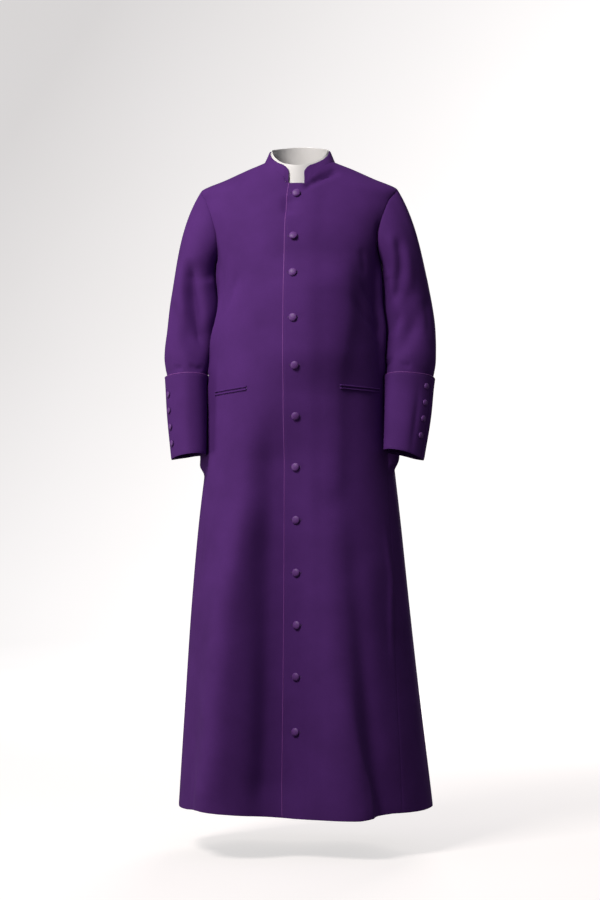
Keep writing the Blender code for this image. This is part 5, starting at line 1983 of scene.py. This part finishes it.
@dataclass(frozen=True)
class PatternFinish:
    """Two tones and a fine relief that one pattern draws: ribs that are turned, or a grain."""

    name: str = ""
    dark: str = ""
    light: str = ""
    on_map: bool = True  # drawn along the piece's own map, or through its place
    turn: Triple | None = None  # of the ribs, in degrees; a grain has none
    pitch: float = 0.0  # from rib to rib, or the size of the grain
    unevenness: float = 0.0
    relief: Pair = (0.0, 0.0)  # its strength and its depth
    roughness: float = 0.5
    more: tuple[tuple[str, Any], ...] = ()  # the shader's other constants

    def build(self) -> Material:
        """Makes the material.

        Returns:
            The material.
        """
        material, tree, shader = new_material(self.name)
        if self.on_map:
            spot = add(tree, "ShaderNodeUVMap", uv_map="cloth").outputs["UV"]
        else:
            spot = add(tree, "ShaderNodeTexCoord").outputs["Object"]
        if self.turn:
            turn = tuple(np.radians(self.turn))
            turned = add(tree, "ShaderNodeMapping", {"Vector": spot, "Rotation": turn})
            # A wave texture of scale 1 repeats every pi / 10.
            pattern = add(tree, "ShaderNodeTexWave", {
                "Vector": turned.outputs["Vector"], "Scale": np.pi / 10 / self.pitch,
                "Distortion": self.unevenness,
            })
        else:
            pattern = add(tree, "ShaderNodeTexNoise", {
                "Vector": spot, "Scale": 1.0 / self.pitch, "Detail": self.unevenness,
            })
        drawn = pattern.outputs["Fac"]
        dress(tree, shader, drawn, (self.dark, self.light), drawn, self.relief,
              {"Roughness": self.roughness, **dict(self.more)})
        return material


@dataclass(frozen=True)
class SatinCord(PatternFinish):
    """Rayon satin cord of two twisted strands, brighter and pinker than the cloth."""

    name: str = "satin cord"
    dark: str = "#6e3b86"
    light: str = "#9853ae"
    turn: Triple | None = (0.0, 0.0, 28.0)
    pitch: float = 0.0020  # one strand shows every 2 mm
    unevenness: float = 0.2
    relief: Pair = (0.6, 0.00012)
    more: tuple[tuple[str, Any], ...] = (("Specular IOR Level", 0.3),)


@dataclass(frozen=True)
class ButtonCloth(PatternFinish):
    """The same wool drawn tight over a button, so that its twill opens a little."""

    name: str = "wool button cover"
    dark: str = "#643482"
    light: str = "#784496"
    on_map: bool = False
    turn: Triple | None = (0.0, -58.0, 0.0)
    pitch: float = 0.0008  # of the twill's ribs
    unevenness: float = 0.5
    relief: Pair = (0.5, 0.00006)
    more: tuple[tuple[str, Any], ...] = (
        ("Sheen Weight", 0.2), ("Sheen Roughness", 0.4), ("Sheen Tint", linear("#dab4da")),
    )


@dataclass(frozen=True)
class BandPlastic(PatternFinish):
    """White celluloid-like collar band with a faint embossed linen grain."""

    name: str = "white band plastic"
    dark: str = "#f4f2ef"
    light: str = "#fbfaf9"
    pitch: float = 0.0006  # of the linen grain
    unevenness: float = 2.0
    relief: Pair = (0.25, 0.00004)
    roughness: float = 0.42


@dataclass(frozen=True)
class SilkThread(PatternFinish):
    """Twisted silk buttonhole thread, matched to the cloth; its plies are 0.4 mm apart."""

    name: str = "silk thread"
    dark: str = "#4a2a60"
    light: str = "#6a4383"
    on_map: bool = False
    pitch: float = 0.0004
    unevenness: float = 1.0


@dataclass(frozen=True)
class StudioPaper:
    """Matt white paper of the floor and the backdrop, with a painted glow that is paler to the
    right.

    What the camera sees of it is its painted glow, dimmer up to the left and on the floor; what it
    throws back on the garment is kept low, as with black screens beside the set.
    """

    name: str = "studio paper"
    colour: str = "#f2f0f0"
    shade: str = "#c4bfbe"
    screened: str = "#5a5858"  # what the garment sees of it
    # strength of the painted glow that the camera sees on the paper
    glow: float = 1.12
    slant: float = -1.375  # metres up that dim the painted glow as much as one to the left
    dim_run: Pair = (0.03, 4.01)
    dimmest: float = 0.44
    floor_run: Pair = (4.6, 1.2)  # the painted glow on the floor dims from the back to here
    floor_glow: float = 0.65  # share of the painted glow that is left on the floor

    def build(self) -> Material:
        """Makes the material.

        Returns:
            The material.
        """
        material, tree, shader = new_material(self.name)
        spot = add(tree, "ShaderNodeTexCoord").outputs["Object"]
        seen = add(tree, "ShaderNodeLightPath").outputs["Is Camera Ray"]
        cloud = add(tree, "ShaderNodeTexNoise", {"Vector": spot, "Scale": 1.5, "Detail": 2.0})
        colour = add(tree, "ShaderNodeMix", {
            "Factor": cloud.outputs["Fac"], 6: linear("#efedec"), 7: linear(self.colour),
        }, data_type="RGBA")
        base = add(tree, "ShaderNodeMix", {
            "Factor": seen, 6: linear(self.screened), 7: linear(self.shade),
        }, data_type="RGBA")
        run = add(tree, "ShaderNodeSeparateXYZ", {"Vector": spot})
        # painted light: the paper's glow is dimmed towards the upper left and, further forward, on
        # the floor
        up_left = add(tree, "ShaderNodeMath", {
            0: run.outputs["X"], 1: self.slant, 2: run.outputs["Z"],
        }, operation="MULTIPLY_ADD")
        level = add(tree, "ShaderNodeMapRange", {
            "Value": up_left.outputs["Value"], "From Min": self.dim_run[0],
            "From Max": self.dim_run[1], "To Min": self.glow, "To Max": self.glow - self.dimmest,
        })
        low = add(tree, "ShaderNodeMapRange", {
            "Value": run.outputs["Y"], "From Min": self.floor_run[0],
            "From Max": self.floor_run[1], "To Min": 1.0, "To Max": self.floor_glow,
        }, interpolation_type="SMOOTHSTEP")
        both = add(tree, "ShaderNodeMath", {
            0: level.outputs["Result"], 1: low.outputs["Result"],
        }, operation="MULTIPLY")
        # the painted glow is seen by camera rays only
        glow = add(tree, "ShaderNodeMath", {0: both.outputs["Value"], 1: seen}, operation="MULTIPLY")
        tree.links.new(base.outputs[2], shader.inputs["Base Color"])
        tree.links.new(colour.outputs[2], shader.inputs["Emission Color"])
        tree.links.new(glow.outputs["Value"], shader.inputs["Emission Strength"])
        shader.inputs["Roughness"].default_value = 0.95
        return material


# --- studio ---

@dataclass(frozen=True)
class SoftLight:
    """Soft square light, which the camera doesn't see."""

    name: str
    place_at: Triple
    aim_z: float  # it faces this height of the garment's middle
    size: float
    watts: float
    colour: str = "#fffaf6"

    def build(self) -> None:
        """Sets the light."""
        data = bpy.data.lights.new(self.name, "AREA")
        data.shape = "SQUARE"
        data.size = self.size
        data.energy = self.watts
        data.color = linear(self.colour)[:3]
        lamp = in_scene(self.name, data)
        lamp.visible_camera = False
        lamp.location = self.place_at
        direction = Vector((0.0, 0.0, self.aim_z)) - Vector(self.place_at)
        lamp.rotation_euler = direction.to_track_quat("-Z", "Y").to_euler()


@dataclass
class Studio:
    """Camera, floor, backdrop and soft light."""

    distance: float = 5.3
    azimuth: float = 5.0
    eye_z: float = -0.647
    lens: float = 93.4
    floor_half: float = 9.0
    wall_y: float = 7.0
    bend: float = 1.5
    wall_top: float = 5.5
    bend_steps: int = 16
    pale: float = 0.86  # the room's level where the camera looks past the paper
    fill: float = 0.17  # and where the garment does
    room: str = "#f2f2fa"
    lights: tuple[SoftLight, ...] = (
        SoftLight("key", (-1.3, -1.8, 1.5), -0.6, 1.0, 69.0),
        SoftLight("side", (-3.2, -0.5, -1.0), -0.8, 0.9, 23.0),
        SoftLight("back", (0.5, 3.4, 0.3), -0.8, 1.6, 60.0),
    )

    def camera(self) -> None:
        """Sets the camera level at the middle of the garment."""
        data = bpy.data.cameras.new("camera")
        data.sensor_fit = "VERTICAL"
        data.sensor_height = 36.0
        data.lens = self.lens
        eye = in_scene("camera", data)
        turn = np.radians(self.azimuth)
        eye.location = (self.distance * np.sin(turn), -self.distance * np.cos(turn), self.eye_z)
        eye.rotation_euler = (np.radians(90.0), 0.0, turn)
        bpy.context.scene.camera = eye

    def paper(self, finish: Material) -> None:
        """Lays one sheet of paper that runs along the floor and up the wall.

        Args:
            finish: The paper's material.
        """
        turn = np.linspace(0.0, 0.5 * np.pi, self.bend_steps + 1)
        y = self.wall_y - self.bend + self.bend * np.sin(turn)
        z = FLOOR_Z + self.bend * (1.0 - np.cos(turn))
        line = [(-self.floor_half, FLOOR_Z), *zip(y, z), (self.wall_y, self.wall_top)]
        points, faces = [], []
        for row, (yy, zz) in enumerate(line):
            points += [(-self.floor_half, yy, zz), (self.floor_half, yy, zz)]
            if row:
                faces.append((2 * row - 2, 2 * row - 1, 2 * row + 1, 2 * row))
        mesh = mesh_of("studio_paper", points, faces)
        mesh.shade_smooth()
        mesh.materials.append(finish)
        in_scene("studio_paper", mesh)

    def world(self) -> None:
        """Fills the room with even light."""
        world = bpy.data.worlds.new("studio_world")
        world.use_nodes = True
        tree = world.node_tree
        sky = tree.nodes["Background"]
        sky.inputs["Color"].default_value = linear(self.room)
        seen = add(tree, "ShaderNodeLightPath").outputs["Is Camera Ray"]
        level = add(tree, "ShaderNodeMapRange", {
            "Value": seen, "To Min": self.fill, "To Max": self.pale,
        })
        tree.links.new(level.outputs["Result"], sky.inputs["Strength"])
        bpy.context.scene.world = world

    def build(self, paper: Material) -> None:
        """Sets up the whole studio."""
        self.camera()
        self.paper(paper)
        for light in self.lights:
            light.build()
        self.world()
        bpy.context.scene.view_settings.view_transform = "Standard"


# --- the whole garment ---

CUFF_FOLDS = {  # degrees at the top, lean, height, width in degrees, and the heights that it spans
    Side.LEFT: (
        (86.0, -6.0, 0.0014, 18.0, -0.760, -0.420),
        (124.0, -10.0, -0.0010, 16.0, -0.740, -0.440),
        (58.0, 4.0, -0.0016, 10.0, -0.700, -0.470),
        (-70.0, 10.0, 0.0022, 18.0, -0.740, -0.440),
        (-130.0, 8.0, -0.0020, 16.0, -0.740, -0.440),
    ),
    Side.RIGHT: (
        (95.0, 4.0, 0.0022, 15.0, -0.760, -0.420),
        (155.0, 2.0, 0.0025, 22.0, -0.780, -0.430),
        (60.0, -4.0, -0.0014, 10.0, -0.690, -0.470),
        (-72.0, -8.0, 0.0022, 18.0, -0.740, -0.440),
        (-128.0, -6.0, -0.0020, 16.0, -0.740, -0.440),
    ),
}

FRONT_BUTTONS = (  # from the centre and height
    (0.000, -0.074), (-0.004, -0.172), (-0.003, -0.2545), (-0.001, -0.3545),
    (0.003, -0.460), (0.0035, -0.572), (0.0025, -0.6845), (0.0035, -0.8015),
    (0.004, -0.918), (0.0055, -1.034), (0.004, -1.148), (0.0025, -1.270),
)
POCKETS = (
    JettedPocket(Side.LEFT, 0.101, -0.507, 0.184, -0.5145),
    JettedPocket(Side.RIGHT, 0.107, -0.5095, 0.186, -0.520),
)
CUFF_BUTTON_Z = {
    Side.RIGHT: (-0.519, -0.558, -0.597, -0.636),
    Side.LEFT: (-0.505, -0.543, -0.581, -0.620),
}
CUFF_BUTTON_TURN = 33.0
FRONT_BUTTON = CoveredButton(radius=0.0091)
CUFF_BUTTON = CoveredButton(radius=0.0070, segments=32)
BUTTON_TILT = {2: -18.0}  # the second one hangs with its face up
BUTTON_SWAY = 5.0  # most that the others lean, in turn
BUTTON_SWAY_STEP = 2.4
TIERS = ("bodice", "skirt")


@dataclass
class Cassock:
    """The whole garment: every piece in its place, with its finish."""

    cloth: Material
    cord: Material
    button: Material
    band: Material
    thread: Material

    def build_body(self) -> None:
        """Makes the fronts and backs."""
        form = BodyForm(BODY_CREASES)
        self.form = form
        self.fronts = {side: Panel(form, side, True, PanelDensity()) for side in Side}
        self.backs = {side: Panel(form, side, False, PanelDensity()) for side in Side}
        self.sleeves = {side: Sleeve(side, form) for side in Side}
        self.cuffs = {side: Cuff(side) for side in Side}
        for side in Side:
            sleeve, cuff = self.sleeves[side], self.cuffs[side]
            arm = surface_tree([(side.mirror(sleeve.outer), True), (side.mirror(cuff.outer), False)])
            for panel in (self.fronts[side], self.backs[side]):
                panel.fill_towards(arm)
                panel.build(self.cloth)

    def build_arms(self) -> None:
        """Makes the sleeves and cuffs with their cords."""
        cords = Cords()
        for side in Side:
            self.sleeves[side].build(self.cloth)
            self.cuffs[side].build(self.cloth)
            cords.cuff(self.cuffs[side], self.cord)
        cords.front(self.fronts[Side.LEFT], self.cord)

    def build_trim(self) -> None:
        """Makes the collar, the pockets and the buttons."""
        self.collar = StandCollar(self.form)
        self.collar.build(self.cloth, self.band)
        sewing, holes, bars = Sewing(), [], []
        for pocket in POCKETS:
            pocket.build(self.fronts[pocket.side], self.cloth)
            bars += sewing.bar_lines(pocket, self.fronts[pocket.side])
        for number, (x, z) in enumerate(FRONT_BUTTONS, 1):
            point, normal = self.fronts[Side.LEFT].seat(x, z)
            name = f"front_button_{number:02d}"
            tilt = BUTTON_TILT.get(number, BUTTON_SWAY * np.sin(BUTTON_SWAY_STEP * number))
            mesh = FRONT_BUTTON.mesh(name, point, normal, float(number), tilt)
            place("covered_" + name, mesh, self.button, Slot.BUTTON, name)
            holes += sewing.hole_lines(self.fronts[Side.LEFT], x, z)
        for side, heights in CUFF_BUTTON_Z.items():
            for number, z in enumerate(heights, 1):
                point, normal = self.cuffs[side].seat(CUFF_BUTTON_TURN, z)
                name = f"cuff_button_{side.word}_{number}"
                mesh = CUFF_BUTTON.mesh(name, point, normal, float(number))
                place("covered_" + name, mesh, self.button, Slot.BUTTON, name)
        sewing.build(self.fronts[Side.LEFT], self.cuffs.values(), self.collar.outer, holes, bars,
                     self.thread)

    def declare_cloth(self) -> None:
        """Goes through both sides and states nothing."""
        for side in Side:
            word = side.word

    def build(self) -> None:
        """Makes the garment from the body outwards."""
        self.build_body()
        self.build_arms()
        self.build_trim()
        self.declare_cloth()


def main() -> None:
    """Builds the garment and the studio."""
    logging.basicConfig(level=logging.INFO, format="%(name)s %(message)s")
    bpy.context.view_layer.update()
    Studio().build(StudioPaper().build())
    Cassock(
        cloth=WoolGabardine().build(),
        cord=SatinCord().build(),
        button=ButtonCloth().build(),
        band=BandPlastic().build(),
        thread=SilkThread().build(),
    ).build()


if __name__ == "__main__":
    main()
